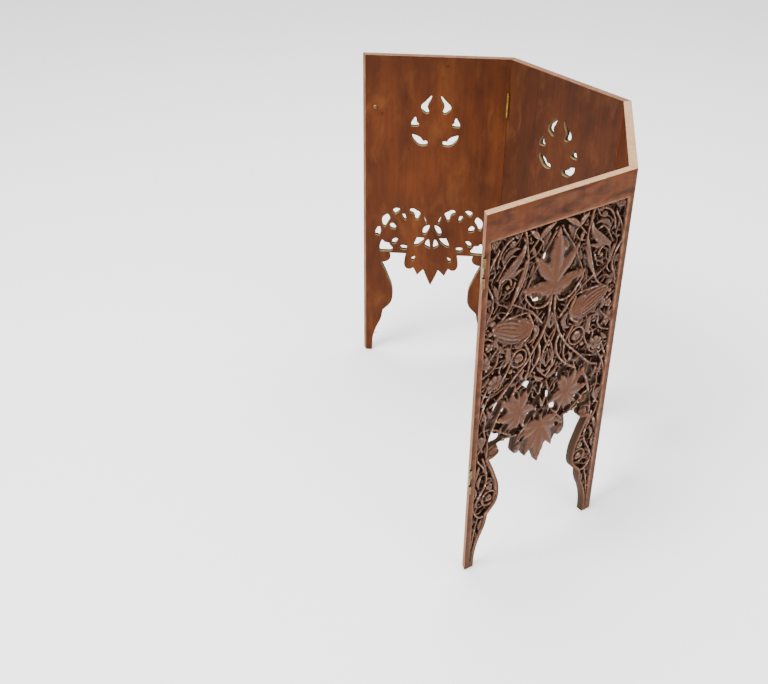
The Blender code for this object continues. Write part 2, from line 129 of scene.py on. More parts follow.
class StandColours(bpy.types.PropertyGroup):
    """Finishes, as sRGB hex values."""

    walnut: StringProperty(name="Walnut", description="Oiled walnut", default="#4A210B")
    walnut_dark: StringProperty(name="Dark streak", description="Late wood, stains", default="#180A04")
    walnut_light: StringProperty(name="Worn walnut", description="Paler areas", default="#602F11")
    smudged: StringProperty(name="Smudged walnut", description="Handled rails", default="#5E3822")
    rubbed: StringProperty(name="Rubbed walnut", description="Where hands have rubbed", default="#6B3E1B")
    carved: StringProperty(name="Carved walnut", description="Upper tone of carved forms", default="#573420")
    carved_dark: StringProperty(name="Dark carving", description="Lower tone of them", default="#2E170C")
    foot: StringProperty(name="Foot", description="Dusty wood toward the feet", default="#4A3020")
    leaf: StringProperty(name="Leaf", description="Tops of the big leaves and buds", default="#55301A")
    # painted highlight: the paler colour laid on the stems' ridges
    ridge_highlight: StringProperty(name="Ridge", description="Worn ridges of the stems", default="#8A6148")
    # painted highlight: grey-white glints laid in patches along the ridges
    glint: StringProperty(name="Wax", description="Traces of old wax", default="#C4B2A4")
    # painted shade: the dark colour laid over the deep ground and the hollows
    ground: StringProperty(name="Ground", description="Grime in the carved ground", default="#140A06")
    stained: StringProperty(name="Stained wall", description="Walls, carved side", default="#332013")
    bare: StringProperty(name="Bare wall", description="Walls, inner side", default="#746241")
    sawn: StringProperty(name="Bare edge", description="Unoiled top edges", default="#A58464")
    brass: StringProperty(name="Brass", description="Rolled brass", default="#9A7630")
    dull_brass: StringProperty(name="Dull brass", description="Half hinges", default="#77603C")
    tarnish: StringProperty(name="Tarnish", description="Brown tarnish on brass", default="#46301A")
    steel: StringProperty(name="Steel", description="Drawn steel", default="#8C857B")
    black_steel: StringProperty(name="Browned steel", description="Repair metal", default="#6E5338")
    rust: StringProperty(name="Rust", description="Film on the steel", default="#4A2C1A")
    floor: StringProperty(name="Floor", description="Pale floor", default="#F6F6F6")


# ---- the plan, seen from above


def along(angle):
    """A level direction."""
    return Vector((math.cos(angle), math.sin(angle), 0.0))


def board_angle(index):
    """Direction of board a, b, c or d, for index 0 to 3, walking round the outside."""
    return math.pi + (index - 1.5) * TURN


def outer_corners():
    """The five outer corners in metres, centred on the stand's box as the frame is."""
    corners = [Vector((0.0, 0.0, 0.0))]
    for index in range(4):
        corners.append(corners[-1] + WIDTH * MM * along(board_angle(index)))
    free_pin = corners[0] + PIN_OFFSET * MM * along(board_angle(0) - TURN / 2 - math.pi / 2)
    back = corners[2].y + (PIN_OFFSET + KNUCKLE_RADIUS) * MM
    radius = KNUCKLE_RADIUS * MM
    middle = Vector(((free_pin.x + radius + corners[4].x) / 2, (back + free_pin.y - radius) / 2, 0.0))
    return [corner - middle for corner in corners]


CORNERS = outer_corners()


def board_place(index):
    """Board frame: X along the outer face, Y into the stand, Z up, from the left outer corner."""
    return Matrix.Translation(CORNERS[index]) @ Matrix.Rotation(board_angle(index), 4, "Z")


def hinge_place(corner, inside):
    """Frame of a hinge at a corner: origin on the pin at floor level, X along its leaves into the wood."""
    angle = board_angle(corner) - TURN / 2 + math.pi / 2
    inward = along(angle)
    if inside:
        pin = CORNERS[corner] + (THICKNESS / math.cos(TURN / 2) + PIN_OFFSET) * MM * inward
        return Matrix.Translation(pin) @ Matrix.Rotation(angle + math.pi, 4, "Z")
    return Matrix.Translation(CORNERS[corner] - PIN_OFFSET * MM * inward) @ Matrix.Rotation(angle, 4, "Z")


# ---- curves


def polar(centre, away, angle):
    """The point that lies at a distance and an angle from a centre."""
    return centre[0] + away * math.cos(angle), centre[1] + away * math.sin(angle)


def eased(value):
    """0 to 1, with a soft start and a soft end."""
    value = np.clip(value, 0.0, 1.0)
    return value * value * (3.0 - 2.0 * value)


def path_points(path):
    """The points of a path, which may be written as pairs "across,up across,up" in mm."""
    if isinstance(path, str):
        path = [pair.split(",") for pair in path.split()]
    return np.array(path, float)


def flowing(path, step=0.8):
    """Points along a curve that flows through all the points of a path."""
    knots = path_points(path)
    if len(knots) == 2:
        count = max(3, int(np.hypot(*(knots[1] - knots[0])) / step))
        return knots[0] + np.linspace(0.0, 1.0, count)[:, None] * (knots[1] - knots[0])
    knots = np.vstack([2 * knots[0] - knots[1], knots, 2 * knots[-1] - knots[-2]])
    runs = []
    for a, b, c, d in zip(knots, knots[1:], knots[2:], knots[3:]):
        count = max(2, int(np.hypot(*(c - b)) / step))
        t = np.linspace(0.0, 1.0, count, endpoint=False)[:, None]
        runs.append(b + 0.5 * t * (c - a + t * (2 * a - 5 * b + 4 * c - d + t * (3 * (b - c) + d - a))))
    return np.vstack(runs + [knots[-2:-1]])


def closed_outline(points, step=0.6):
    """A closed curve through (x, z, smooth) points: straight into the ones that are not smooth."""
    knots = np.array([point[:2] for point in points], float)
    rounded = [point[2] for point in points]
    count = len(knots)
    slopes = []
    for i in range(count):
        before, after = knots[i] - knots[i - 1], knots[(i + 1) % count] - knots[i]
        p, q = np.hypot(*before), np.hypot(*after)
        way = before * q / p + after * p / q
        slopes.append(way / max(np.hypot(*way), 1e-9))
    runs = []
    for i in range(count):
        j = (i + 1) % count
        a, d = knots[i], knots[j]
        size = np.hypot(*(d - a))
        b = a + slopes[i] * size * 0.37 if rounded[i] else a + (d - a) / 3
        c = d - slopes[j] * size * 0.37 if rounded[j] else d - (d - a) / 3
        t = np.linspace(0.0, 1.0, max(2, int(size / step)), endpoint=False)[:, None]
        u = 1.0 - t
        runs.append(u**3 * a + 3 * u * u * t * b + 3 * u * t * t * c + t**3 * d)
    return np.vstack(runs)


def arch_outline():
    """The arch and the two legs' inner edges, with the leaf that hangs in the middle."""
    left = [
        (15.4, -12.0, False), (15.4, 0.0, True), (17.4, 27.0, True), (21.4, 42.4, True),
        (32.7, 71.4, True), (34.7, 84.1, False), (50.0, 104.0, True), (51.3, 121.5, True),
        (42.3, 154.0, True), (30.9, 180.0, False), (38.6, 181.2, True), (47.3, 189.9, True),
        (45.1, ARCH, False), (73.4, ARCH, False), (71.2, 186.0, True), (71.0, 176.0, True),
        (75.5, 169.6, True), (80.0, 168.6, True), (86.5, 172.0, False), (89.5, 166.0, True),
        (93.2, 157.5, False), (98.0, 163.0, True), (103.8, 169.2, False), (107.2, 160.0, True),
        (HALF, 138.0, False),
    ]  # fmt: skip
    right = [(WIDTH - x, z, soft) for x, z, soft in reversed(left[:-1])]
    return closed_outline(left + right)


def hole_outlines():
    """The pierced holes, from the centre line and from the top of the field or from the arch."""
    from_top = [
        "7,-25 9.5,-27.5 15.5,-34.2 23.5,-44 23.8,-47.5 19,-52.8 "
        "14,-55.6 10.8,-54.5 11,-51 13.3,-43.3 9.6,-35.6 7.2,-29",
        "32.2,-60.3 34.5,-64.2 38.4,-72.4 38.4,-77 33,-77.3 26.3,-76 26.3,-72.6 29.2,-70.3 30.5,-64",
        "37,-90 30,-92 23,-95.5 18,-101.2 14.5,-100.4 "
        "12,-103.8 12.4,-107.5 18,-109.6 25,-108.8 31.5,-103.5 36,-97",
    ]
    from_arch = [
        "54.5,83.4 60,84.4 66.8,80.4 66,77.2 62,72.2 57,76.4 54,80.2",
        "45.5,73.6 49.5,73.9 52,71.9 49,67.4 46.5,63.4 43.5,62.9 44,68.4",
        "37.5,82.4 33,84.6 27,81.9 21,77.9 20,74.4 22.5,68.6 24.5,63.6 27.5,63.9 29,69.4 31,74.1 37.5,78.1",
        "14,71.4 15.5,70.4 13,64.1 11,57.9 9.5,58.9 10.4,63.1",
        "74.5,73.1 78.3,70.9 83,65.4 84,60.4 83.5,53.4 81,48.2 79,48.7 75,55.4 71.3,61.4 71.5,68.9",
        "90.5,49.1 87,48.5 86,41.4 87.5,33.4 89,30.7 91.5,32.9 95,32.5 95.4,38.2 93,44.5",
        "66.5,56.4 69.5,54.9 70.8,49.9 70,46.9 62,44.2 60.2,47.9 62,52.9",
        "4.2,55.6 8,54.4 13,50.9 15.3,45.4 15.4,37.7 12,36.9 7.5,41.9 4.8,48.4",
        "13,31.1 24.5,31.5 27,25.4 29.3,18.4 28.8,14.5 24.5,15.6 18.5,20.2 13.5,25.7",
        "4.8,28.9 8,26.5 10.5,21.4 11.8,17.4 7.5,13.1 3,11.1 2.8,15.3 3.4,21.7",
        "56.5,26.9 60,28.4 65,26.2 67,22.4 66.5,17.5 63,16.9 59,20.4",
        "41.5,14.4 46,15.5 51.5,14.8 54,11.9 50.5,7.6 42,7.1",
        "83.5,24.9 78.5,19.9 72.5,18.9 69,13.4 65.5,9.4 68.5,3.3 "
        "72,2.8 80,2.6 87,2.3 88.2,6.4 87.3,12.4 85.8,19.4",
        "26.5,-4.1 29.5,-5.1 34,-9.6 33.3,-12.6 29.8,-14.1 27.5,-8.6",
    ]
    for datum, outlines in ((FIELD_TOP, from_top), (ARCH, from_arch)):
        for outline in outlines:
            for side in (-1, 1):
                corners = [np.array((HALF + side * x, datum + z)) for x, z in path_points(outline)]
                yield closed_outline([(*corner, soft) for corner, soft in zip(corners, blunt(corners))])


def blunt(corners):
    """True for each corner of an outline that is wide enough to be rounded."""
    for i, corner in enumerate(corners):
        before, after = corners[i - 1] - corner, corners[(i + 1) % len(corners)] - corner
        cosine = before @ after / (np.hypot(*before) * np.hypot(*after))
        yield cosine < -0.35


# ---- the grid of one board


def grid_lines(step):
    """The grid's columns and rows: close over the carved field, wide over the plain rail and stiles."""
    count = int((HALF - STILE) / step)
    left = np.concatenate([[0.0, 0.7, 3.4, 6.2, 8.0], np.linspace(STILE, HALF, count)])
    columns = np.concatenate([left, WIDTH - left[-2::-1]])
    field = np.linspace(0.0, FIELD_TOP, int(FIELD_TOP / step))
    rail = FIELD_TOP + np.array([0.5, 3.0, 8.0, 14.0, 20.0, 26.0, 31.0, 35.2, 36.0])
    return columns, np.concatenate([field, rail])


def edge_distance(x, z, columns, rows, outlines):
    """Distance of each grid point to the nearest outline, positive in the wood, and the nearest place."""
    gap = np.full(x.shape, FAR)
    near_x, near_z = x.copy(), z.copy()
    inside = np.zeros(x.shape, bool)
    for outline in outlines:
        ends = np.roll(outline, -1, axis=0)
        for (ax, az), (bx, bz) in zip(outline, ends):
            low, high = np.searchsorted(rows, sorted((az, bz)))
            if high > low:
                crossing = ax + (rows[low:high] - az) / (bz - az) * (bx - ax)
                inside[low:high] ^= x[low:high] < crossing[:, None]
        for start in range(0, len(outline), 8):
            a, b = outline[start : start + 8], ends[start : start + 8]
            r0, r1 = np.searchsorted(rows, (a[:, 1].min() - REACH, a[:, 1].max() + REACH))
            c0, c1 = np.searchsorted(columns, (a[:, 0].min() - REACH, a[:, 0].max() + REACH))
            part = (slice(r0, r1), slice(c0, c1))
            px, pz = x[part][..., None], z[part][..., None]
            way = b - a
            t = ((px - a[:, 0]) * way[:, 0] + (pz - a[:, 1]) * way[:, 1]) / (way**2).sum(1)
            t = np.clip(t, 0.0, 1.0)
            fx, fz = a[:, 0] + t * way[:, 0], a[:, 1] + t * way[:, 1]
            away = np.hypot(px - fx, pz - fz)
            if not away.size:
                continue
            best = away.argmin(-1)[..., None]
            found = np.take_along_axis(away, best, -1)[..., 0]
            closer = found < gap[part]
            gap[part] = np.where(closer, found, gap[part])
            near_x[part] = np.where(closer, np.take_along_axis(fx, best, -1)[..., 0], near_x[part])
            near_z[part] = np.where(closer, np.take_along_axis(fz, best, -1)[..., 0], near_z[part])
    return np.where(inside, -gap, gap), near_x, near_z


# ---- carving


class Relief:
    """The carved face of one board: how deep the wood is cut at each point, below the plain outer face.

    Points are given from the centre line, so every form is carved on both sides of it.
    """

    def __init__(self, across, up, depth):
        self.across = across
        self.up = up
        self.depth = depth
        self.leaf = np.zeros_like(depth)

    def window(self, path, reach):
        """The points of the face in a box round a path."""
        low, high = path.min(0) - reach, path.max(0) + reach
        level = (self.up > low[1]) & (self.up < high[1])
        return np.flatnonzero(level & (self.across > low[0]) & (self.across < high[0]))

    def lay(self, near, gap, surface, leaf=0.0):
        """Leaves a form standing: its surface inside its outline, and a steep wall down round it."""
        there = self.depth[near]
        stood = surface + (there - surface) * eased(gap / CREST)
        higher = stood < there
        self.depth[near] = np.where(higher, stood, there)
        self.leaf[near] = np.where(higher & (gap < 0.3), leaf, self.leaf[near])

    def stroke(
        self, points, width, top, dome=0.9, vein=0.0, hatch=0.0, pitch=2.6, ribs=0.0, leaf=0.0, fold=0.0
    ):
        """A stem or a leaf along a curve. width is its half width, or a list of them from end to end.

        The other values are depths in mm: of the top, of the sides below it (dome, fold), of a cut midrib
        (vein), of slanting veins (hatch, pitch apart) and how many grooves run along each side (ribs).
        """
        path = flowing(points)
        lengths = np.concatenate([[0.0], np.cumsum(np.hypot(*np.diff(path, axis=0).T))])
        widths = np.atleast_1d(np.array(width, float))
        halves = np.interp(lengths / lengths[-1], np.linspace(0.0, 1.0, len(widths)), widths)
        ways = np.gradient(path, axis=0)
        ways /= np.hypot(*ways.T)[:, None]
        near = self.window(path, halves.max() + 1.2)
        dx = self.across[near, None] - path[:, 0]
        dz = self.up[near, None] - path[:, 1]
        gaps = np.hypot(dx, dz) - halves
        best = gaps.argmin(1)
        pick = (np.arange(len(near)), best)
        gap = gaps[pick]
        side = ways[best, 0] * dz[pick] - ways[best, 1] * dx[pick]
        share = np.clip(np.abs(side) / np.maximum(halves[best], 0.4), 0.0, 1.0)
        surface = top + dome * share**2 + fold * share
        if vein:
            surface = surface + vein * np.exp(-((side / 0.75) ** 2))
        if hatch:
            phase = (lengths[best] - 0.8 * np.abs(side)) / pitch
            surface = surface + hatch * (0.5 + 0.5 * np.cos(2 * math.pi * phase)) * eased(share * 3)
        if ribs:
            groove = np.abs(np.cos(math.pi * ribs * side / np.maximum(halves[best], 1.0)))
            surface = surface + 1.9 * (1.0 - np.sqrt(groove))
        self.lay(near, gap, surface, leaf)

    def stem(self, points, half=1.45, top=0.9):
        """A long round stem, laid in short lengths."""
        path = flowing(points, 2.5)
        foot = path_points(points)[0][1]
        for start in range(0, len(path) - 1, 6):
            part = path[start : start + 7]
            if len(part) > 1:
                wave = 0.4 * (1.0 + math.sin(0.35 * start + 0.4 * foot))
                self.stroke(part, 0.9 * half, top + wave, dome=1.1 * half)

    def lobe(self, points, half):
        """One lobe of a big leaf: nearly flat, toothed at its edge, with a midrib and a few side veins."""
        teeth = np.array([0.62, 0.86, 0.74, 1.02, 0.86, 1.10, 0.84, 0.92, 0.62, 0.64, 0.34, 0.30, 0.02])
        self.stroke(points, half * teeth, 0.4, dome=0.5, vein=0.6, hatch=0.3, pitch=5.2, leaf=1.0, fold=1.5)

    def curl(self, centre, reach, start, way):
        """A small tendril that winds in on itself."""
        turns = np.linspace(0.0, 5.4, 12)
        radii = np.linspace(reach, 0.25 * reach, 12)
        angles = start + way * turns
        path = [polar(centre, away, angle) for away, angle in zip(radii, angles)]
        self.stroke(path, [0.8, 1.2, 1.15, 1.1, 1.6], 1.5, dome=0.9)

    def leaf_form(self, points, half, top=1.0, vein=0.8, hatch=0.35, leaf=0.5):
        """A pointed leaf with a cut midrib and slanting veins."""
        widths = half * np.array([0.35, 0.75, 1.0, 0.95, 0.7, 0.38, 0.12])
        self.stroke(points, widths, top, dome=0.9, vein=vein, hatch=hatch, leaf=leaf)

    def ring(self, centre, radius, half=1.35, top=1.2):
        """A stem that closes on itself."""
        self.stem([polar(centre, radius, angle) for angle in np.linspace(0.0, 2 * math.pi, 17)], half, top)

    def flower(self, centre, radius, petals=6, top=1.0, turn=0.0, spread=math.pi, facing=0.0):
        """A round flower, or a fan of petals where spread is less than a half turn."""
        near = self.window(np.array([centre, centre], float), radius + 1.5)
        dx, dz = self.across[near] - centre[0], self.up[near] - centre[1]
        away, angle = np.hypot(dx, dz), np.arctan2(dz, dx)
        off = np.abs((angle - facing + math.pi) % (2 * math.pi) - math.pi)
        petal = np.abs(np.cos((angle + turn) * petals / 2))
        edge = radius * (0.80 + 0.20 * np.sqrt(petal))
        gap = np.maximum(away - edge, (off - spread) * away)
        surface = top + 0.9 * (1.0 - petal) ** 2 + 0.7 * np.exp(-(((away - 0.38 * radius) / 0.8) ** 2))
        surface = surface - 0.6 * eased((0.3 - away / radius) * 4) + 0.5 * (away / radius) ** 2
        self.lay(near, gap, surface, 0.4)

    def berry(self, centre, radius, top=0.8):
        """A round domed form."""
        near = self.window(np.array([centre, centre], float), radius + 1.5)
        away = np.hypot(self.across[near] - centre[0], self.up[near] - centre[1])
        share = np.clip(away / radius, 0.0, 1.0)
        self.lay(near, away - radius, top + 0.55 * radius * (1.0 - np.sqrt(1.0 - 0.9 * share**2)), 0.3)

    def bare(self, point, reach):
        """True where nothing has been carved yet round a point."""
        near = self.window(np.array([point, point], float), reach)
        return len(near) > 3 and self.depth[near].min() > UNCARVED


def carve_upper_leaf(relief):
    """The maple leaf over the middle of the board, in its pear-shaped stem."""
    stem, lobe, flower = relief.stem, relief.lobe, relief.flower
    stem("6,488 15,475 26,459 43,426 46,413 40,402 31,392 19,388 9,391 4,402", 1.3)
    lobe("2,412 14,403 24,399", 7.0)
    lobe("3,414 24,413 50,421", 10.5)
    lobe("3,424 17,441 35,461", 9.0)
    lobe("0,410 0,452 0,492", 13.0)
    flower((0, 415), 5.0, petals=8, top=0.4)


def carve_corner(relief):
    """Scrolls, feather leaves and sprigs beside and above the upper leaf."""
    stem, leaf, flower, berry = relief.stem, relief.leaf_form, relief.flower, relief.berry
    stem("92.6,487 104,467 108,452 106,443 98,428 97,412 103,398 106,384")
    stem("73,498 83,492 91,478 93,465", 1.3, 1.3)
    leaf("87,447 75,453 64,463 56,474 52,487", 6.0, hatch=0.6)
    leaf("88,445 77,451 67,449 53,453", 4.4, 1.3, hatch=0.6)
    stem("92,448 86,458 80,468 73,474 66,472", 1.2, 1.6)
    leaf("84,470 78,478 68,482 60,480", 3.4, 1.5, hatch=0.6)
    stem("89,430 88,441 80,447 72,443 70,436", 1.3, 1.2)
    leaf("96,441 92,430 90,418", 3.2, 1.5)
    stem("95,424 87,415 76,408 68,405", 1.2, 1.7)
    stem("54,502 51,490 47,463 49,450 58,424 66,409 73,397 82,389", 1.5, 1.0)
    leaf("49,461 52,443 60,422 70,403", 4.0, 1.0, hatch=0.3)
    leaf("33,487 38,494 46,500", 3.6, 1.1, vein=0.5, hatch=0.0)
    leaf("31,487 20,495 7,502", 3.8, 1.0, vein=0.5, hatch=0.0)
    stem("32,486 39,478 45,471", 1.2, 1.4)
    stem("30,485 25,479 24,468", 1.3, 1.4)
    leaf("40,476 37,467 34,461", 2.6, 1.6)
    leaf("15,490 20,481 21,472", 3.0, 1.6)
    leaf("42,437 38,446 37,455", 2.6, 1.8)
    flower((100, 498), 5.2, 5, 1.3)
    flower((72, 490), 4.2, 5, 1.6)
    flower((104, 421), 5.0, 5, 1.6)
    flower((66, 499), 3.4, 4, 1.6)
    leaf("84,500 90,503 99,488", 2.4, 1.8)
    stem("64,437 67,429 76,425 84,428 84,436", 1.2, 1.8)
    berry((75, 434), 2.6, 1.4)
    stem("106,478 107,489 104,496", 1.2, 1.7)
    stem("60,500 66,490 78,486 86,478 84,466", 1.1, 1.8)
    stem("99,470 96,458 100,446 96,436", 1.1, 1.9)
    stem("54,470 60,460 72,458 82,455", 1.1, 1.9)
    stem("46,452 50,440 48,428 54,415 50,404", 1.2, 1.7)
    stem("62,440 72,446 82,440 90,428 88,414 94,404", 1.1, 1.9)
    stem("104,460 108,470 106,482", 1.1, 1.9)
    stem("74,398 86,402 96,396 104,386", 1.1, 1.8)
    stem("12,502 20,490 28,474 34,466 44,462", 1.1, 1.8)


def carve_bud(relief):
    """The ribbed bud, its calyx and the stems over and under it."""
    stem, leaf, flower = relief.stem, relief.leaf_form, relief.flower
    berry, stroke = relief.berry, relief.stroke
    stem("89,383 78,388 58,389 39,387 25,377 15,364", 1.3, 1.1)
    stem("64,407 54,401 39,391 29,382 23,370", 1.4, 1.3)
    body = [0.6, 8.0, 13.5, 17.5, 19.8, 19.8, 17.0, 12.0]
    stroke("94,381 76,375 58,367 44,364", body, 0.6, dome=2.6, ribs=3.5, leaf=0.8)
    for tip in ((55, 382), (63, 368), (52, 352)):
        stroke([(36, 366), tip], [6.5, 8.0, 7.0, 4.5, 0.5], 0.3, dome=1.2, ribs=2.0, leaf=0.8)
    stroke("38,384 32,370 35,354 46,346", 1.3, 0.4, leaf=0.7)
    stem("109,374 99,369 88,360 84,352 90,344 96,338", 1.3, 1.4)
    berry((96, 390), 3.4)
    berry((98, 376), 3.0)
    leaf("86,368 89,360 84,352", 3.6, 1.3, hatch=0.0)
    flower((98, 357), 5.5, 5, 1.2)
    leaf("28,365 22,355 26,345 34,341", 4.0, 1.3)
    leaf("81,353 78,345 70,338", 2.6, 1.6)
    leaf("104,408 100,398 90,396", 3.0, 1.6)
    stem("107,410 105,400 107,390", 1.1, 1.9)


def carve_middle(relief):
    """The crossing stems from the leaf's foot down to the lower leaves."""
    stem, leaf, flower, ring, berry = relief.stem, relief.leaf_form, relief.flower, relief.ring, relief.berry
    stem("3,405 4,386 5,370 10,355 15,343 23,330 33,316 46,303 58,291 69,280 79,270 89,265", 1.9, 0.6)
    stem("17,337 13.5,324 15,312 21,301 29,291 39,282 46,277", 1.9, 0.7)
    stem("39,341 33,330 29,320 28,309 30,297 34,290 32,283", 1.6, 0.9)
    stem("0,374 6,362 9,348 5,334 -3,322", 1.4, 1.1)
    stem("-4,340 4,328 8,314 4,301 -4,290", 1.4, 1.2)
    stem("9,350 3,341 -4,333", 1.2, 1.3)
    stem("4,318 10,300 6,286 -4,276", 1.3, 1.2)
    leaf("0,352 4,360 0,372", 2.2, 1.2, hatch=0.0)
    leaf("2,300 9,307 12,317", 2.6, 1.4, hatch=0.0)
    leaf("2,288 10,292 16,300", 2.6, 1.4, hatch=0.0)
    leaf("3,276 12,279 20,287", 2.8, 1.4, hatch=0.0)
    ring((48, 324), 12.5, 1.4, 0.9)
    flower((48, 324), 6.8, 3, 1.0, turn=0.6)
    stem("48,317 50,310 44,306", 1.2, 1.3)
    stem("62,349 64,338 62,322 66,310 71,302", 1.5, 1.2)
    leaf("68,345 66,330 72,318", 4.0, 1.1, hatch=0.0)
    stem("74,352 82,344 84,330 92,320 106,314", 1.4, 1.3)
    flower((83, 297), 13.5, 9, 1.0, spread=2.0, facing=1.2)
    ring((83, 297), 9.0, 1.1, 1.0)
    flower((83, 296), 5.0, 6, 0.8)
    flower((106, 333), 12.0, 9, 1.0, spread=1.75, facing=2.4)
    berry((106, 331), 3.2, 0.9)
    berry((60, 308), 3.2, 1.2)
    leaf("38,302 42,296 40,290 34,288", 2.4, 1.2, hatch=0.0)
    stem("97,293 103,280 108,266", 1.4, 1.3)
    leaf("62,290 52,285 44,289", 2.6, 1.5)
    leaf("94,311 100,304 107,300", 2.8, 1.5)
    berry((101, 272), 3.4, 1.4)
    leaf("56,345 50,341 40,346", 2.8, 1.6)
    stem("34,346 46,340 60,342 74,346 86,342", 1.2, 1.6)
    stem("108,356 100,344 94,330 84,322 72,322", 1.2, 1.7)
    stem("27,345 22,352 20,364 12,376", 1.2, 1.6)
    stem("58,335 70,330 78,318 74,306 66,300", 1.2, 1.8)
    stem("20,300 24,310 22,322 26,334", 1.2, 1.7)
    stem("70,286 84,281 96,284 106,292", 1.3, 1.5)


def carve_lower_leaves(relief):
    """The two lobed leaves over the arch, and the one that hangs in it."""
    stem, lobe, flower, berry = relief.stem, relief.lobe, relief.flower, relief.berry
    stem("4,268 7,254 2,240 -5,228", 1.5, 1.0)
    stem("24,272 14,262 6,248 1,232", 1.4, 1.2)
    stem("88,197 78,201 66,205 54,203 42,201", 2.0, 0.8)
    stem("84,226 74,222 64,214 52,206", 1.6, 1.0)
    for tip, half in (
        ((80, 238), 7.0), ((77, 215), 7.5), ((54, 204), 8.0), ((27, 207), 7.5), ((12, 232), 6.0),
        ((22, 270), 8.0), ((75, 270), 9.0), ((50, 279), 9.0),
    ):  # fmt: skip
        bow = (0.5 * (40 + tip[0]) + 0.08 * (tip[1] - 239), 0.5 * (239 + tip[1]) - 0.08 * (tip[0] - 40))
        lobe([(40, 239), bow, tip], half)
    flower((39, 239), 4.6, 8, 0.4)
    stem("12,231 24,212 37,197 40,188", 1.5, 0.7)
    hanging = (((30, 206), 7.0), ((14, 226), 6.0), ((40, 190), 9.0), ((24, 156), 10.5), ((0, 136), 13.5))
    for tip, half in hanging:
        lobe([(0, 204), (0.42 * tip[0], 0.5 * (204 + tip[1])), tip], half)
    flower((0, 205), 4.8, 8, 0.4)
    berry((HALF - 38.6, 190), 8.6, 0.5)
    berry((37.5, 178), 8.2, 0.8)


def carve_leg(relief):
    """The ropes that run from the field down into the leg, and the vine in it."""
    stem, leaf, flower, ring = relief.stem, relief.leaf_form, relief.flower, relief.ring
    stem("69,262 79,238 86,216 89,201 89,181 81,162 73,139 70,124", 2.0, 0.5)
    stem("90,286 101,266 107,247 108,231 104,214 98,200", 1.6, 0.8)
    stem("100,262 96,246 97,232 94,218 98,206 105,196", 1.5, 1.0)
    leaf("92,258 88,248 92,238", 3.2, 1.2)
    for tip in ((107, 222), (109, 214), (107, 205), (103, 200)):
        leaf([(93, 215), tip], 2.6, 1.2)
    flower((98, 252), 4.4, 5, 1.4)
    stem("106,196 102,182 94,170 86,152", 1.3, 1.2)
    stem("95,184 88,160 87,140 97,121 105,104 102,92 93,83 80,85 73,98 70,116", 1.5, 0.8)
    leaf("100,172 104,160 106,146", 2.8, 1.2)
    leaf("96,156 100,146 98,134", 2.6, 1.3)
    leaf("106,140 103,128 107,116", 2.4, 1.3)
    leaf("85,175 90,168 93,160", 2.2, 1.5)
    ring((80, 112), 11.5, 1.35, 0.9)
    flower((80, 112), 5.2, 3, 1.0, turn=0.4)
    ring((95, 109), 6.5, 1.2, 1.2)
    flower((80, 131), 5.0, 3, 1.1)
    stem("84,84 82,76 86,60 93,44 97,30", 1.4, 0.9)
    stem("97,82 101,66 104,50 106,32 107,14", 1.4, 1.0)
    leaf("90,76 93,66 92,54", 2.6, 1.2)
    leaf("99,58 97,46 101,34", 2.0, 1.4)
    leaf("107,92 108,80 106,68", 2.0, 1.4)


def under_layer(relief, seed):
    """A tangle of thin stems and leaflets well below the main ones, so that little bare ground is seen."""
    chance = np.random.default_rng(seed)
    for _ in range(TANGLE):
        point = (chance.uniform(-2, 112), chance.uniform(14, 504))
        turn, bend = chance.uniform(0, 2 * math.pi), chance.uniform(-0.9, 0.9)
        step = chance.uniform(1.8, 5.5)
        path = []
        for _ in range(5):
            path.append(point)
            point = polar(point, step, turn)
            turn += bend
        widths = [0.6, 1.1, 1.25, 1.1, 0.5] if step > 3.0 else [0.5, 1.5, 2.1, 1.6, 0.2]
        relief.stroke(path, widths, chance.uniform(1.9, 3.4), dome=1.2, vein=0.3)


def fill_gaps(relief, seed):
    """Tendrils, paired leaves and single leaflets wherever the ground is still bare."""
    chance = np.random.default_rng(seed)
    for room, tries in ((5.4, 500), (4.0, 700), (2.9, 1100), (2.2, 1500)):
        for _ in range(tries):
            u, z = chance.uniform(1, 109), chance.uniform(14, 503)
            turn, way = chance.uniform(0, 2 * math.pi), chance.choice((-1.0, 1.0))
            if not relief.bare((u, z), room):
                continue
            if room > 5:
                relief.curl((u, z), 6.2, turn, way)
            elif room > 3:
                reach = 1.5 * room
                for lean, share in ((0.0, 1.0), (0.9 * way, 0.75), (-1.0 * way, 0.65)):
                    foot = polar((u, z), -0.45 * reach, turn)
                    middle = polar((u, z), 0.5 * share * reach, turn + lean)
                    tip = polar((u, z), share * reach, turn + 1.7 * lean)
                    top = 1.6 + 0.5 * abs(lean)
                    relief.leaf_form([foot, middle, tip], 1.7, top, vein=0.5, hatch=0.0, leaf=0.2)
            else:
                reach = 1.45 * room
                points = [polar((u, z), t * reach, turn + 0.5 * way * t) for t in (-1, 0, 1)]
                relief.leaf_form(points, 0.55 * room, 2.1, vein=0.5, hatch=0.0, leaf=0.2)


def ground_depth(x, z, gap, sizes, seed):
    """The plain frame round the field, the wall down to the ground, and the chisel marks on the ground."""
    margin = np.minimum(np.minimum(x - STILE, WIDTH - STILE - x), FIELD_TOP - z)
    margin = np.minimum(margin, z - FIELD_FOOT)
    pendant = (np.abs(x - HALF) < PENDANT_HALF) & (z < PENDANT_TOP)
    in_leg = np.where(pendant, 0.0, eased((LEG_TOP - z) / 8.0))
    margin = np.minimum(margin, gap - RIM * in_leg + PAST_RIM * (1.0 - in_leg))
    marks = 0.16 * np.sin(x * 1.9 + 2.0 * np.sin(z * 0.23 + seed))
    marks = marks + 0.12 * np.sin(z * 1.3 + 1.7 * np.sin(x * 0.31))
    ground = np.where(pendant, PENDANT_GROUND, sizes.ground_depth + marks)
    return np.where(margin > 0, ground * eased(margin / CREST), 0.0)


def blurred(values, times):
    """The mean of each point and its neighbours, taken a number of times."""
    for _ in range(times):
        values = (values + np.roll(values, 1, 0) + np.roll(values, -1, 0)) / 3
        values = (values + np.roll(values, 1, 1) + np.roll(values, -1, 1)) / 3
    return values


# ---- one board as a solid

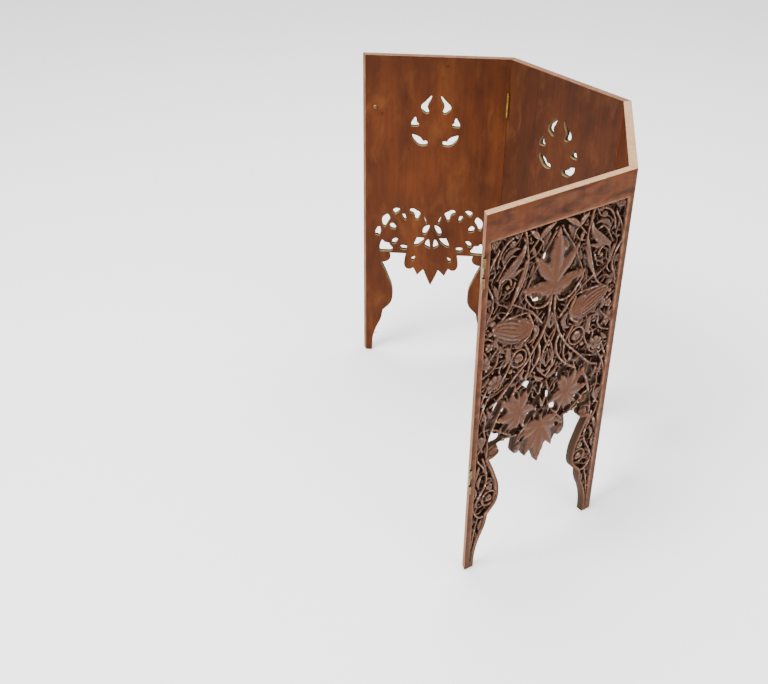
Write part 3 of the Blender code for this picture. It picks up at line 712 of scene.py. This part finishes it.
FACE_OUTER, FACE_PIERCED, FACE_INNER, FACE_TOP, FACE_END, FACE_SEAT = range(6)


def kept_cells(states, centre_gap):
    """Quads and triangles of the grid that lie in the wood, as rows of point numbers."""
    rows, columns = states.shape
    numbers = np.arange(rows * columns).reshape(rows, columns)
    corners = np.stack([numbers[:-1, :-1], numbers[:-1, 1:], numbers[1:, 1:], numbers[1:, :-1]], -1)
    corners = corners.reshape(-1, 4)
    state = states.ravel()[corners]
    outside = (state < 0).sum(1)
    touching = (state == 0).sum(1)
    wood = centre_gap.ravel() > 0
    quads = corners[(outside == 0) & ((touching < 4) | wood)]
    thirds = (outside == 1) & ((touching < 3) | wood)
    triangles = corners[thirds][state[thirds] >= 0].reshape(-1, 3)
    return quads, triangles


def face_edges(quads, triangles):
    """Every face's sides in its own direction, as pairs of point numbers."""
    sides = [np.stack([quads[:, i], quads[:, (i + 1) % 4]], 1) for i in range(4)]
    sides += [np.stack([triangles[:, i], triangles[:, (i + 1) % 3]], 1) for i in range(3)]
    return np.vstack(sides)


def open_edges(edges, count):
    """The edges that no neighbouring face runs along the other way."""
    keys = edges[:, 0] * count + edges[:, 1]
    return edges[~np.isin(keys, edges[:, 1] * count + edges[:, 0])]


def without_pinches(quads, triangles, count):
    """Drops the cells round any point where two parts of the wood would touch at that point alone."""
    while True:
        rim = open_edges(face_edges(quads, triangles), count)
        pinched = np.flatnonzero(np.bincount(rim[:, 0], minlength=count) > 1)
        if not len(pinched):
            return quads, triangles, rim
        quads = quads[~np.isin(quads, pinched).any(1)]
        triangles = triangles[~np.isin(triangles, pinched).any(1)]


def mitred(x, y):
    """Where a point at x on the outer face lies at depth y, so that the board's ends are mitred."""
    left = np.clip(1.0 - x / END_REACH, 0.0, 1.0)
    right = np.clip(1.0 - (WIDTH - x) / END_REACH, 0.0, 1.0)
    return x + (END_SETBACK + y * MITRE) * (left - right)


def back_triangles(points, rim):
    """Triangles of the flat back, between the edges of the rim."""
    edges = [tuple(edge) for edge in rim.tolist()]
    made = delaunay_2d_cdt([Vector(point) for point in points], edges, [], 0, 1e-7)
    origin = np.array([sources[0] if sources else -1 for sources in made[3]])
    triangles = origin[np.array(made[2])]
    middle = points[triangles].mean(1)
    a, b = points[rim[:, 0]], points[rim[:, 1]]
    inside = np.zeros(len(middle), int)
    for (ax, az), (bx, bz) in zip(a, b):
        spans = (middle[:, 1] > min(az, bz)) & (middle[:, 1] <= max(az, bz))
        if bz != az:
            crossing = ax + (middle[:, 1] - az) / (bz - az) * (bx - ax)
            inside += spans & (middle[:, 0] < crossing)
    return triangles[inside % 2 == 1]


def carved_face(sizes, seed):
    """The carved outer face of one board, as grids in mm in the board's frame, and the faces in the wood."""
    columns, rows = grid_lines(sizes.grid_step)
    x, z = np.meshgrid(columns, rows)
    gap, near_x, near_z = edge_distance(x, z, columns, rows, [arch_outline()])
    hole_gap, hole_x, hole_z = edge_distance(x, z, columns, rows, list(hole_outlines()))
    near_x, near_z = np.where(hole_gap < gap, hole_x, near_x), np.where(hole_gap < gap, hole_z, near_z)
    gap = np.minimum(gap, hole_gap)
    snap = 0.5 * sizes.grid_step
    on_edge = np.abs(gap) < snap
    states = np.where(on_edge, 0, np.sign(gap)).astype(int)
    x = np.where(on_edge, near_x, x)
    z = np.where(on_edge & (z > 0.01), near_z, z)
    centre_gap = (gap[:-1, :-1] + gap[1:, :-1] + gap[:-1, 1:] + gap[1:, 1:]) / 4
    depth = ground_depth(x, z, np.where(on_edge, 0.0, gap), sizes, seed)
    stray = sizes.wander * (np.sin(z * 0.061 + seed * 1.7) + np.sin(x * 0.083 + z * 0.037 + seed)) / 2
    relief = Relief(np.abs(x - HALF + stray).ravel(), (z + 0.8 * stray).ravel(), depth.ravel())
    under_layer(relief, TANGLE_SEED)
    for carve in (carve_upper_leaf, carve_corner, carve_bud, carve_middle, carve_lower_leaves, carve_leg):
        carve(relief)
    fill_gaps(relief, GAPS_SEED)
    depth = relief.depth.reshape(x.shape)
    depth = depth + (LIP_DEPTH - depth) * eased((LIP_WIDTH - np.maximum(hole_gap, 0.0)) / LIP_WIDTH)
    beside = np.minimum(x, WIDTH - x) < AT_EDGE
    outer_rim = beside | (np.minimum(z, HEIGHT - z) < AT_EDGE)
    depth = depth + np.where(on_edge | outer_rim, sizes.arris, 0.0)
    maps = {"relief": depth, "cavity": depth - blurred(depth, 6), "leaf": relief.leaf.reshape(x.shape)}
    cells = without_pinches(*kept_cells(states, centre_gap), x.size)
    return x, z, cells, (columns, rows, maps)


def board_solid(sizes, seed):
    """Points, faces, face kinds and the carving's maps for one board, in mm in the board's frame."""
    x, z, (quads, triangles, rim), grid = carved_face(sizes, seed)
    depth, count = grid[2]["relief"], x.size
    front = np.stack([mitred(x, depth), depth, z], -1).reshape(-1, 3)
    # each rim point and the next one, and the way into the wood between them
    follower = np.full(count, -1)
    follower[rim[:, 0]] = rim[:, 1]
    loop = rim[:, 0]
    place = np.full(count, -1)
    place[loop] = np.arange(len(loop))
    flat = np.stack([x.ravel(), z.ravel()], 1)
    way = flat[follower[loop]] - flat[loop]
    way /= np.maximum(np.hypot(*way.T), 1e-6)[:, None]
    before = np.zeros_like(way)
    before[place[rim[:, 1]]] = way[place[rim[:, 0]]]
    inward = np.stack([-(way + before)[:, 1], (way + before)[:, 0]], 1)
    inward /= np.maximum(np.hypot(*inward.T), 0.3)[:, None]
    low = THICKNESS - sizes.arris
    ring = np.stack([mitred(flat[loop, 0], low), np.full(len(loop), low), flat[loop, 1]], 1)
    inset = flat[loop] + sizes.arris * inward
    back = np.stack([mitred(inset[:, 0], THICKNESS), np.full(len(loop), THICKNESS), inset[:, 1]], 1)
    # the faces: carved front, walls, bevel and flat back
    used = np.unique(np.concatenate([quads.ravel(), triangles.ravel()]))
    renumber = np.full(count, -1)
    renumber[used] = np.arange(len(used))
    first, second = len(used), len(used) + len(loop)
    a, b = rim[:, 0], rim[:, 1]
    wall = np.stack([renumber[b], renumber[a], first + place[a], first + place[b]], 1)
    bevel = np.stack([first + place[b], first + place[a], second + place[a], second + place[b]], 1)
    flat_rim = np.stack([place[a], place[b]], 1)
    backing = second + back_triangles(back[:, [0, 2]], flat_rim)[:, ::-1]
    kinds = wall_kinds(flat[a], flat[b])
    parts = (renumber[quads], renumber[triangles], wall, bevel, backing)
    faces = [row for part in parts for row in part.tolist()]
    front_kind = np.full(len(quads) + len(triangles), FACE_OUTER)
    face_kinds = np.concatenate([front_kind, kinds, kinds, np.full(len(backing), FACE_INNER)])
    points = np.vstack([front[used], ring, back])
    return points, faces, face_kinds, grid


def wall_kinds(a, b):
    """The kind of each side face: a mitred end, the top edge, or a sawn inner edge."""
    kinds = np.full(len(a), FACE_PIERCED)
    kinds[np.minimum(a[:, 1], b[:, 1]) > HEIGHT - AT_EDGE] = FACE_TOP
    for end in (0.0, WIDTH):
        kinds[np.maximum(np.abs(a[:, 0] - end), np.abs(b[:, 0] - end)) < AT_EDGE] = FACE_END
    return kinds


def new_piece(name, points, faces):
    """A mesh object from points in mm."""
    mesh = bpy.data.meshes.new(name)
    mesh.from_pydata((np.asarray(points) * MM).tolist(), [], faces)
    piece = bpy.data.objects.new(name, mesh)
    bpy.context.scene.collection.objects.link(piece)
    return piece


def cutter(name, place, fill):
    """A solid to cut with, which a function fills in, at its place."""
    mesh = bpy.data.meshes.new(name)
    shape = bmesh.new()
    fill(shape)
    bmesh.ops.recalc_face_normals(shape, faces=shape.faces)
    shape.to_mesh(mesh)
    shape.free()
    tool = bpy.data.objects.new(name, mesh)
    bpy.context.scene.collection.objects.link(tool)
    tool.matrix_world = place
    return tool


def add_box(shape, low, high):
    low, high = Vector(low) * MM, Vector(high) * MM
    place = Matrix.Translation((low + high) / 2) @ Matrix.Diagonal((*(high - low), 1.0))
    bmesh.ops.create_cube(shape, size=1.0, matrix=place)


def add_rod(shape, radius, length, place):
    size = {"radius1": radius * MM, "radius2": radius * MM, "depth": length * MM}
    bmesh.ops.create_cone(shape, cap_ends=True, segments=20, matrix=place, **size)


ACROSS = Matrix.Rotation(math.pi / 2, 4, "X")


def hinge_cutters(corner, inside):
    """What a hinge takes out of the boards: leaf seats, the barrel's hollow and the screw holes."""
    tools = []
    for height in HINGE_HEIGHTS:
        place = hinge_place(corner, inside) @ Matrix.Translation((0.0, 0.0, height * MM))
        half = HINGE_HALF + ROOM
        deep = LEAF_DEEP + ROOM
        low, high = (-2 * KNUCKLE_RADIUS, -deep, -half), (LEAF_REACH + ROOM, deep, half)
        tools.append(cutter("leaf_seat", place, partial(add_box, low=low, high=high)))
        barrel = partial(add_rod, radius=KNUCKLE_RADIUS + ROOM, length=2 * half, place=Matrix.Identity(4))
        tools.append(cutter("barrel_seat", place, barrel))
        for up in (-SCREW_APART / 2, SCREW_APART / 2):
            at = Matrix.Translation((SCREW_FROM_PIN * MM, 0.0, up * MM)) @ ACROSS
            hole = partial(add_rod, radius=SCREW_RADIUS, length=2 * SCREW_DEEP, place=at)
            tools.append(cutter("screw_hole", place, hole))
    return tools


def repair_cutters():
    """The holes of the round-headed screw and of the driven pin in board d."""
    seat = board_place(3) @ Matrix.Translation(Vector(ROUND_HEAD_AT) * MM)
    pin = board_place(3) @ Matrix.Translation(Vector(REPAIR_PIN_AT) * MM)
    flat_rod = partial(add_rod, radius=SCREW_RADIUS, length=6.9, place=ACROSS)
    side_rod = partial(add_rod, radius=0.76, length=22.0, place=Matrix.Rotation(math.pi / 2, 4, "Y"))
    return [cutter("round_head_hole", seat, flat_rod), cutter("pin_hole", pin, side_rod)]


def cut(piece, tools):
    """Takes the tools' shapes out of the piece and keeps the result as its mesh."""
    for tool in tools:
        step = piece.modifiers.new(tool.name, "BOOLEAN")
        step.operation = "DIFFERENCE"
        step.object = tool
        step.solver = "MANIFOLD"
    bpy.context.view_layer.update()
    ready = piece.evaluated_get(bpy.context.evaluated_depsgraph_get())
    mesh = bpy.data.meshes.new_from_object(ready)
    piece.modifiers.clear()
    old = piece.data
    piece.data = mesh
    mesh.name = piece.name
    bpy.data.meshes.remove(old)
    for tool in tools:
        bpy.data.objects.remove(tool)


def write_maps(mesh, grid):
    """Gives each point the carving's depth, hollow and leaf values, which the wood's colour, its painted
    shade and its painted highlights follow.
    """
    columns, rows, maps = grid
    points = np.zeros(len(mesh.vertices) * 3)
    mesh.vertices.foreach_get("co", points)
    points = points.reshape(-1, 3) / MM
    i = np.clip(np.searchsorted(rows, points[:, 2] - 0.5), 0, len(rows) - 1)
    j = np.clip(np.searchsorted(columns, points[:, 0] - 0.5), 0, len(columns) - 1)
    for name, values in maps.items():
        attribute = mesh.attributes.new(name, "FLOAT", "POINT")
        attribute.data.foreach_set("value", values[i, j].astype(np.float32))


def sharpen_between_kinds(mesh):
    """Smooth shading over each kind of face, and a sharp edge between two kinds."""
    mesh.shade_smooth()
    shape = bmesh.new()
    shape.from_mesh(mesh)
    for edge in shape.edges:
        kinds = {face.material_index for face in edge.link_faces}
        edge.smooth = len(kinds) == 1 and (FACE_SEAT not in kinds or edge.calc_face_angle(0.0) < 0.6)
    shape.to_mesh(mesh)
    shape.free()


# ---- materials


def linear(colour):
    """An sRGB hex value as a linear colour."""
    parts = [int(colour[i : i + 2], 16) / 255 for i in (1, 3, 5)]
    return (*[p / 12.92 if p <= 0.04045 else ((p + 0.055) / 1.055) ** 2.4 for p in parts], 1.0)


def add_node(tree, kind, values):
    """A node with its values. A key names a property or an input that is in use.

    A hex value is a colour, a node or an output is a link, and a list fills the inputs of one name in order.
    """
    node = tree.nodes.new(kind)
    for key, value in values.items():
        if hasattr(node, key):
            setattr(node, key, value)
            continue
        targets = [i for i in node.inputs if i.enabled and i.name == key]
        for target, part in zip(targets, value if isinstance(value, list) else [value]):
            if isinstance(part, bpy.types.Node):
                part = next(o for o in part.outputs if o.enabled)
            if isinstance(part, bpy.types.NodeSocket):
                tree.links.new(part, target)
            else:
                target.default_value = linear(part) if isinstance(part, str) else part
    return node


def new_material(name):
    """A material, and the function that adds nodes to it."""
    made = bpy.data.materials.new(name)
    made.use_nodes = True
    made.node_tree.nodes.clear()
    return made, partial(add_node, made.node_tree)


def surfaced(made, add, values):
    """Ends a material with its surface."""
    surface = add("ShaderNodeBsdfPrincipled", values)
    add("ShaderNodeOutputMaterial", {"Surface": surface})
    return made


def streaks(add, across, length, detail=3.0, rough=0.55, shift=0.0):
    """Noise drawn out along the grain: across and length are the size of one streak in mm."""
    place = add("ShaderNodeTexCoord", {}).outputs["Object"]
    scale = (1.0 / (across * MM), 1.0 / (across * MM), 1.0 / (length * MM))
    spread = add("ShaderNodeMapping", {"Vector": place, "Scale": scale, "Location": (shift, shift, shift)})
    noise = {"Vector": spread, "Scale": 1.0, "Detail": detail, "Roughness": rough, "Distortion": 0.4}
    return add("ShaderNodeTexNoise", noise)


def board_axis(add, axis):
    """How far along one of the board's axes a point lies, in metres."""
    place = add("ShaderNodeTexCoord", {}).outputs["Object"]
    return add("ShaderNodeSeparateXYZ", {"Vector": place}).outputs[axis]


def amount(source, low, high, most=1.0, least=0.0):
    """Values of a Map Range node that turns a span of noise or depth into how much of something shows."""
    return {"Value": source, "From Min": low, "From Max": high, "To Min": least, "To Max": most}


TINT = {"data_type": "RGBA"}


def coat(add, under, colour, source, low, high, most=1.0):
    """A colour over what is under it, which shows the more, the further the source is from low to high."""
    shows = add("ShaderNodeMapRange", amount(source, low, high, most))
    return add("ShaderNodeMix", {**TINT, "A": under, "B": colour, "Factor": shows})


def walnut_colour(add, colours, shift):
    """Oiled walnut: broad warm and cool areas, soft late-wood streaks some 4 mm wide, fine pores."""
    patch = streaks(add, 44.0, 150.0, 3.0, 0.55, shift)
    broad = coat(add, colours.walnut, colours.walnut_light, patch, 0.33, 0.68)
    late = streaks(add, 4.2, 120.0, 4.0, 0.6, shift)
    streaked = coat(add, broad, colours.walnut_dark, late, 0.40, 0.80, 0.34)
    fine = streaks(add, 0.8, 9.0, 2.0, 0.5, shift)
    pore = add("ShaderNodeMapRange", amount(fine, 0.56, 0.80, 0.3))
    return add("ShaderNodeMix", {**TINT, "A": streaked, "B": colours.walnut_dark, "Factor": pore}), pore


def carved_walnut(colours, letter, shift):
    """Carved and oiled walnut: high parts shine, painted highlights make them paler, and painted shade
    darkens the ground.
    """
    made, add = new_material(f"walnut_carved_oiled_{letter}")
    wood, pore = walnut_colour(add, colours, shift)
    relief = add("ShaderNodeAttribute", {"attribute_name": "relief"}).outputs["Fac"]
    cavity = add("ShaderNodeAttribute", {"attribute_name": "cavity"}).outputs["Fac"]
    leaf = add("ShaderNodeAttribute", {"attribute_name": "leaf"}).outputs["Fac"]
    # the plain frame: smudged by hands, sooty in places, dusty toward the feet
    smudge = streaks(add, 24.0, 15.0, 4.0, 0.62, shift + 8.0)
    handled = coat(add, wood, colours.smudged, smudge, 0.40, 0.68, 0.75)
    soot = streaks(add, 38.0, 13.0, 4.0, 0.6, shift + 15.0)
    polished = coat(add, handled, colours.walnut_dark, soot, 0.46, 0.66, 0.62)
    frame_wood = coat(add, polished, colours.foot, board_axis(add, "Z"), 0.26, 0.02, 0.6)
    # the carved forms: greyer, with a tone that changes every few millimetres
    patch = streaks(add, 7.0, 8.0, 3.0, 0.62, shift + 6.0)
    tone = coat(add, colours.carved_dark, colours.carved, patch, 0.36, 0.66)
    cut_wood = add("ShaderNodeMapRange", amount(relief, 0.15, 0.5, 0.92))
    carved = add("ShaderNodeMix", {**TINT, "A": frame_wood, "B": tone, "Factor": cut_wood})
    warm = coat(add, carved, colours.leaf, leaf, 0.2, 1.0, 0.75)
    # painted highlights: paler ridges, and grey-white glints in patches along them, which the plain frame
    # doesn't have
    ridge_highlight = add("ShaderNodeMapRange", amount(cavity, -0.2, -1.5, 0.7))
    lit = add("ShaderNodeMix", {**TINT, "A": warm, "B": colours.ridge_highlight, "Factor": ridge_highlight})
    glint = add("ShaderNodeMath", {"operation": "MULTIPLY", "Value": [painted_glints(add, ridge_highlight), cut_wood]})
    glinted = add("ShaderNodeMix", {**TINT, "A": lit, "B": colours.glint, "Factor": glint})
    # painted shade: darker the deeper the ground is cut, and darker still in the hollows
    shaded = coat(add, glinted, colours.ground, relief, 1.5, 4.4, 0.94)
    dark = coat(add, shaded, colours.ground, cavity, 0.1, 1.3, 0.85)
    # the high parts are polished, the ground is dull
    sheen = add("ShaderNodeMapRange", amount(relief, 0.8, 1.4, 0.18, 0.1))
    dull = add("ShaderNodeMapRange", amount(relief, 2.0, 4.0, 0.05, 1.0))
    shine = add("ShaderNodeMath", {"operation": "MULTIPLY", "Value": [sheen, dull]})
    rough = add("ShaderNodeMapRange", amount(relief, 0.5, 1.4, 0.26, 0.5))
    bump = add("ShaderNodeBump", {"Strength": 0.25, "Distance": 0.0004, "Height": pore})
    look = {"IOR": 1.5, "Base Color": dark, "Roughness": rough, "Normal": bump, "Specular IOR Level": shine}
    return surfaced(made, add, look)


def painted_glints(add, ridge_highlight):
    """Painted highlights: grey-white glints in patches 3 to 12 mm long, only along the ridges."""
    patch = add("ShaderNodeMapRange", amount(streaks(add, 6.0, 7.0, 4.0, 0.68, 3.0), 0.54, 0.66, 1.3))
    return add("ShaderNodeMath", {"operation": "MULTIPLY", "Value": [patch, ridge_highlight]})


def planed_walnut(colours, letter, shift, age):
    """The planed inner faces: dull oil over plain wood, with water marks, knocks and rubbed places.

    shift moves the pattern, as each board is its own plank, and age is how far it has darkened.
    """
    made, add = new_material(f"walnut_planed_oiled_{letter}")
    dark = colours.walnut_dark
    plank, pore = walnut_colour(add, colours, shift)
    wood = add("ShaderNodeMix", {**TINT, "Factor": age, "A": plank, "B": dark})
    marked = coat(add, wood, dark, streaks(add, 34.0, 60.0, 5.0, 0.62, shift + 5.0), 0.50, 0.74, 0.42)
    hands = streaks(add, 26.0, 60.0, 3.0, 0.6, shift + 9.0)
    rubbed = coat(add, marked, colours.rubbed, hands, 0.52, 0.78, 0.5)
    spotted = coat(add, rubbed, dark, streaks(add, 7.0, 8.0, 2.0, 0.5, shift + 12.0), 0.70, 0.80, 0.6)
    # darker toward the top edge
    darker_at_top = coat(add, spotted, dark, board_axis(add, "Z"), 0.46, 0.54, 0.35)
    rough = add("ShaderNodeMapRange", amount(pore, 0.0, 0.3, 0.62, 0.46))
    bump = add("ShaderNodeBump", {"Strength": 0.2, "Distance": 0.0003, "Height": pore})
    look = {"IOR": 1.5, "Base Color": darker_at_top, "Roughness": rough, "Normal": bump, "Specular IOR Level": 0.09}
    return surfaced(made, add, look)


def pierced_walnut(colours, letter, stain):
    """The walls of the openings: stained from the carved side to a depth in mm, then bare khaki wood."""
    made, add = new_material(f"walnut_pierced_edge_{letter}")
    uneven = streaks(add, 6.0, 7.0, 3.0, 0.6, 4.0)
    depths = [uneven, 8.0 * MM, board_axis(add, "Y")]
    edge = add("ShaderNodeMath", {"operation": "MULTIPLY_ADD", "Value": depths})
    wood = coat(add, colours.stained, colours.bare, edge, (stain + 4.0) * MM, (stain + 7.5) * MM)
    bump = add("ShaderNodeBump", {"Strength": 0.3, "Distance": 0.0004, "Height": uneven})
    look = {"IOR": 1.5, "Base Color": wood, "Roughness": 0.7, "Normal": bump, "Specular IOR Level": 0.12}
    return surfaced(made, add, look)


def sawn_walnut(colours, name, pale, dark, most):
    """Sawn edges, hardly oiled: paler and dull, with dirt rubbed in along the grain."""
    made, add = new_material(name)
    saw = streaks(add, 2.5, 30.0, 4.0, 0.6, 4.0)
    streak = add("ShaderNodeMapRange", amount(saw, 0.40, 0.72))
    wood = add("ShaderNodeMix", {**TINT, "A": pale, "B": dark, "Factor": streak})
    dirty = coat(add, wood, colours.walnut, streaks(add, 16.0, 24.0, 3.0, 0.6, 7.0), 0.40, 0.66, most)
    bump = add("ShaderNodeBump", {"Strength": 0.3, "Distance": 0.0003, "Height": streak})
    look = {"IOR": 1.5, "Base Color": dirty, "Roughness": 0.66, "Normal": bump, "Specular IOR Level": 0.15}
    return surfaced(made, add, look)


def rolled_brass(name, bare, dull):
    """Old rolled brass: bright where it is rubbed, brown tarnish in spots 1 to 4 mm wide."""
    made, add = new_material(name)
    tarnish = add("ShaderNodeMapRange", amount(streaks(add, 2.6, 3.4, 4.0, 0.65), 0.44, 0.66, 0.8))
    colour = add("ShaderNodeMix", {**TINT, "A": bare, "B": dull, "Factor": tarnish})
    rough = add("ShaderNodeMapRange", amount(tarnish, 0.0, 0.8, 0.6, 0.36))
    return surfaced(made, add, {"Metallic": 1.0, "Base Color": colour, "Roughness": rough})


def drawn_steel(colours, name, shade):
    """Drawn steel wire and turned screws: grey or browned, with a thin film of rust in patches."""
    made, add = new_material(name)
    rust = add("ShaderNodeMapRange", amount(streaks(add, 1.6, 2.4, 4.0, 0.65, 1.0), 0.50, 0.68, 0.7))
    colour = add("ShaderNodeMix", {**TINT, "A": shade, "B": colours.rust, "Factor": rust})
    rough = add("ShaderNodeMapRange", amount(rust, 0.0, 0.7, 0.7, 0.34))
    return surfaced(made, add, {"Metallic": 1.0, "Base Color": colour, "Roughness": rough})


def pale_floor(colours):
    """Matt white studio paint, a little uneven."""
    made, add = new_material("floor_matt_paint")
    rough = add("ShaderNodeMapRange", amount(streaks(add, 400.0, 400.0, 2.0, 0.5), 0.3, 0.7, 0.9, 0.86))
    return surfaced(made, add, {"Base Color": colours.floor, "Roughness": rough})


# ---- operators


# each board: where its grain is taken from, how far its inner face has darkened, its stain's depth in mm
PLANKS = (("a", 0.0, 0.0, 9.0), ("b", 21.0, 0.1, 6.0), ("c", 8.5, 0.4, 5.5), ("d", 2.0, 0.16, 5.5))
# each board's hinges: the corner, and whether it is inside
HINGED = (((0, False), (1, True)), ((1, True), (2, False)), ((2, False), (3, True)), ((3, True),))
# pale and dark tones of sawn faces
BARE_EDGE_DARK = "#86603E"
HANDLED_EDGE = ("#74543C", "#503524")
RUBBED_END = ("#8A5E3E", "#5C3820")
CHISELLED_SEAT = ("#5C3A22", "#38200F")


class STAND_OT_boards(bpy.types.Operator):
    """Carve the four boards and seat the hinges in them"""

    bl_idname = "stand.boards"
    bl_label = "Carve boards"

    def execute(self, context):
        sizes, colours = context.scene.stand_sizes, context.scene.stand_colours
        bare_top = sawn_walnut(colours, "walnut_bare_top_edge", colours.sawn, BARE_EDGE_DARK, 0.25)
        worn_top = sawn_walnut(colours, "walnut_handled_top_edge", *HANDLED_EDGE, 0.5)
        end = sawn_walnut(colours, "walnut_rubbed_end", *RUBBED_END, 0.5)
        seat = sawn_walnut(colours, "walnut_chiselled_seat", *CHISELLED_SEAT, 0.3)
        for index, (letter, shift, age, stain) in enumerate(PLANKS):
            top = bare_top if letter in "ab" else worn_top
            carved = carved_walnut(colours, letter, shift)
            planed = planed_walnut(colours, letter, shift, age)
            woods = (carved, pierced_walnut(colours, letter, stain), planed, top, end, seat)
            points, faces, kinds, grid = board_solid(sizes, 1.0 + 2.3 * index)
            piece = new_piece(f"board_{letter}_carved", points, faces)
            for wood in woods:
                piece.data.materials.append(wood)
            piece.data.polygons.foreach_set("material_index", kinds.astype(np.int32))
            piece.matrix_world = board_place(index)
            tools = [tool for corner, inside in HINGED[index] for tool in hinge_cutters(corner, inside)]
            if letter == "d":
                tools += repair_cutters()
            for tool in tools:
                tool.data.materials.append(woods[FACE_SEAT])
            cut(piece, tools)
            write_maps(piece.data, grid)
            sharpen_between_kinds(piece.data)
            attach(piece, f"board_{letter}")
            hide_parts(f"panel_{letter}")
        return {"FINISHED"}


WORN_METAL = 0.12


class STAND_OT_hinges(bpy.types.Operator):
    """Finish the brass hinges, their screws and pins, and the two small repairs"""

    bl_idname = "stand.hinges"
    bl_label = "Finish hinges"

    def execute(self, context):
        colours = context.scene.stand_colours
        brass = rolled_brass("brass_rolled_tarnished", colours.brass, colours.tarnish)
        dull = rolled_brass("brass_rolled_dull", colours.dull_brass, colours.tarnish)
        steel = drawn_steel(colours, "steel_drawn_pin", colours.steel)
        black = drawn_steel(colours, "steel_blackened_screw", colours.black_steel)
        for name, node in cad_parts.items():
            if name.startswith("panel_"):
                continue
            metal = dull if "half_hinge" in name else brass
            if "_pin_" in name and not name.startswith("repair"):
                metal = steel
            if name in ("round_head_screw_d", "repair_pin_d"):
                metal = black
            node.data.materials.clear()
            node.data.materials.append(metal)
            edge = node.modifiers.new("worn_edge", "BEVEL")
            edge.width, edge.segments, edge.limit_method = WORN_METAL * MM, 2, "ANGLE"
        return {"FINISHED"}


class STAND_OT_stage(bpy.types.Operator):
    """Lay the pale floor, hang the soft lights and set the camera"""

    bl_idname = "stand.stage"
    bl_label = "Set stage"

    def execute(self, context):
        scene = context.scene
        floor = bpy.data.objects.new("floor", bpy.data.meshes.new("floor"))
        floor.data.from_pydata([(-9, -9, 0), (9, -9, 0), (9, 9, 0), (-9, 9, 0)], [], [(0, 1, 2, 3)])
        floor.data.materials.append(pale_floor(scene.stand_colours))
        scene.collection.objects.link(floor)
        for name, place, size, power in (
            ("key_light", (0.5, -1.5, 2.5), 1.1, 105.0),
            ("fill_light", (2.2, 0.9, 1.9), 1.6, 36.0),
            ("top_light", (-0.4, 0.1, 2.6), 1.6, 90.0),
        ):
            lamp = bpy.data.lights.new(name, "AREA")
            lamp.size = size
            lamp.energy = power
            light = bpy.data.objects.new(name, lamp)
            scene.collection.objects.link(light)
            light.location = place
            light.rotation_euler = (Vector((0, 0, 0.25)) - Vector(place)).to_track_quat("-Z", "Y").to_euler()
        scene.world = scene.world or bpy.data.worlds.new("studio")
        scene.world.use_nodes = True
        backdrop = scene.world.node_tree.nodes["Background"]
        backdrop.inputs["Color"].default_value = (1.0, 1.0, 1.0, 1.0)
        backdrop.inputs["Strength"].default_value = 1.3
        set_camera(scene)
        return {"FINISHED"}


def set_camera(scene):
    """Stands the camera outside board a, looking down on it and into the open stand."""
    eye = bpy.data.cameras.new("camera")
    eye.lens = 50.36
    eye.clip_end = 60.0
    camera = bpy.data.objects.new("camera", eye)
    scene.collection.objects.link(camera)
    heading, tilt, roll = math.radians(165.207), math.radians(32.94), math.radians(0.44)
    look = Vector((math.cos(heading) * math.cos(tilt), math.sin(heading) * math.cos(tilt), -math.sin(tilt)))
    turn = look.to_track_quat("-Z", "Y").to_matrix().to_4x4() @ Matrix.Rotation(roll, 4, "Z")
    camera.matrix_world = Matrix.Translation((1.2949, -0.5387, 1.0658)) @ turn
    scene.camera = camera


class STAND_PT_panel(bpy.types.Panel):
    """Sizes, colours and steps of the stand"""

    bl_idname = "STAND_PT_panel"
    bl_label = "Folding carved stand"
    bl_space_type = "VIEW_3D"
    bl_region_type = "UI"
    bl_category = "Stand"

    def draw(self, context):
        for group in (context.scene.stand_sizes, context.scene.stand_colours):
            for name in group.__annotations__:
                self.layout.prop(group, name)
        for step in STEPS:
            self.layout.operator(step.bl_idname)


STEPS = (STAND_OT_boards, STAND_OT_hinges, STAND_OT_stage)
CLASSES = (StandSizes, StandColours, *STEPS, STAND_PT_panel)


def register():
    for kind in CLASSES:
        bpy.utils.register_class(kind)
    bpy.types.Scene.stand_sizes = PointerProperty(type=StandSizes)
    bpy.types.Scene.stand_colours = PointerProperty(type=StandColours)


def unregister():
    del bpy.types.Scene.stand_colours
    del bpy.types.Scene.stand_sizes
    for kind in reversed(CLASSES):
        bpy.utils.unregister_class(kind)


def main():
    register()
    bpy.ops.stand.boards()
    bpy.ops.stand.hinges()
    bpy.ops.stand.stage()


if __name__ == "__main__":
    main()
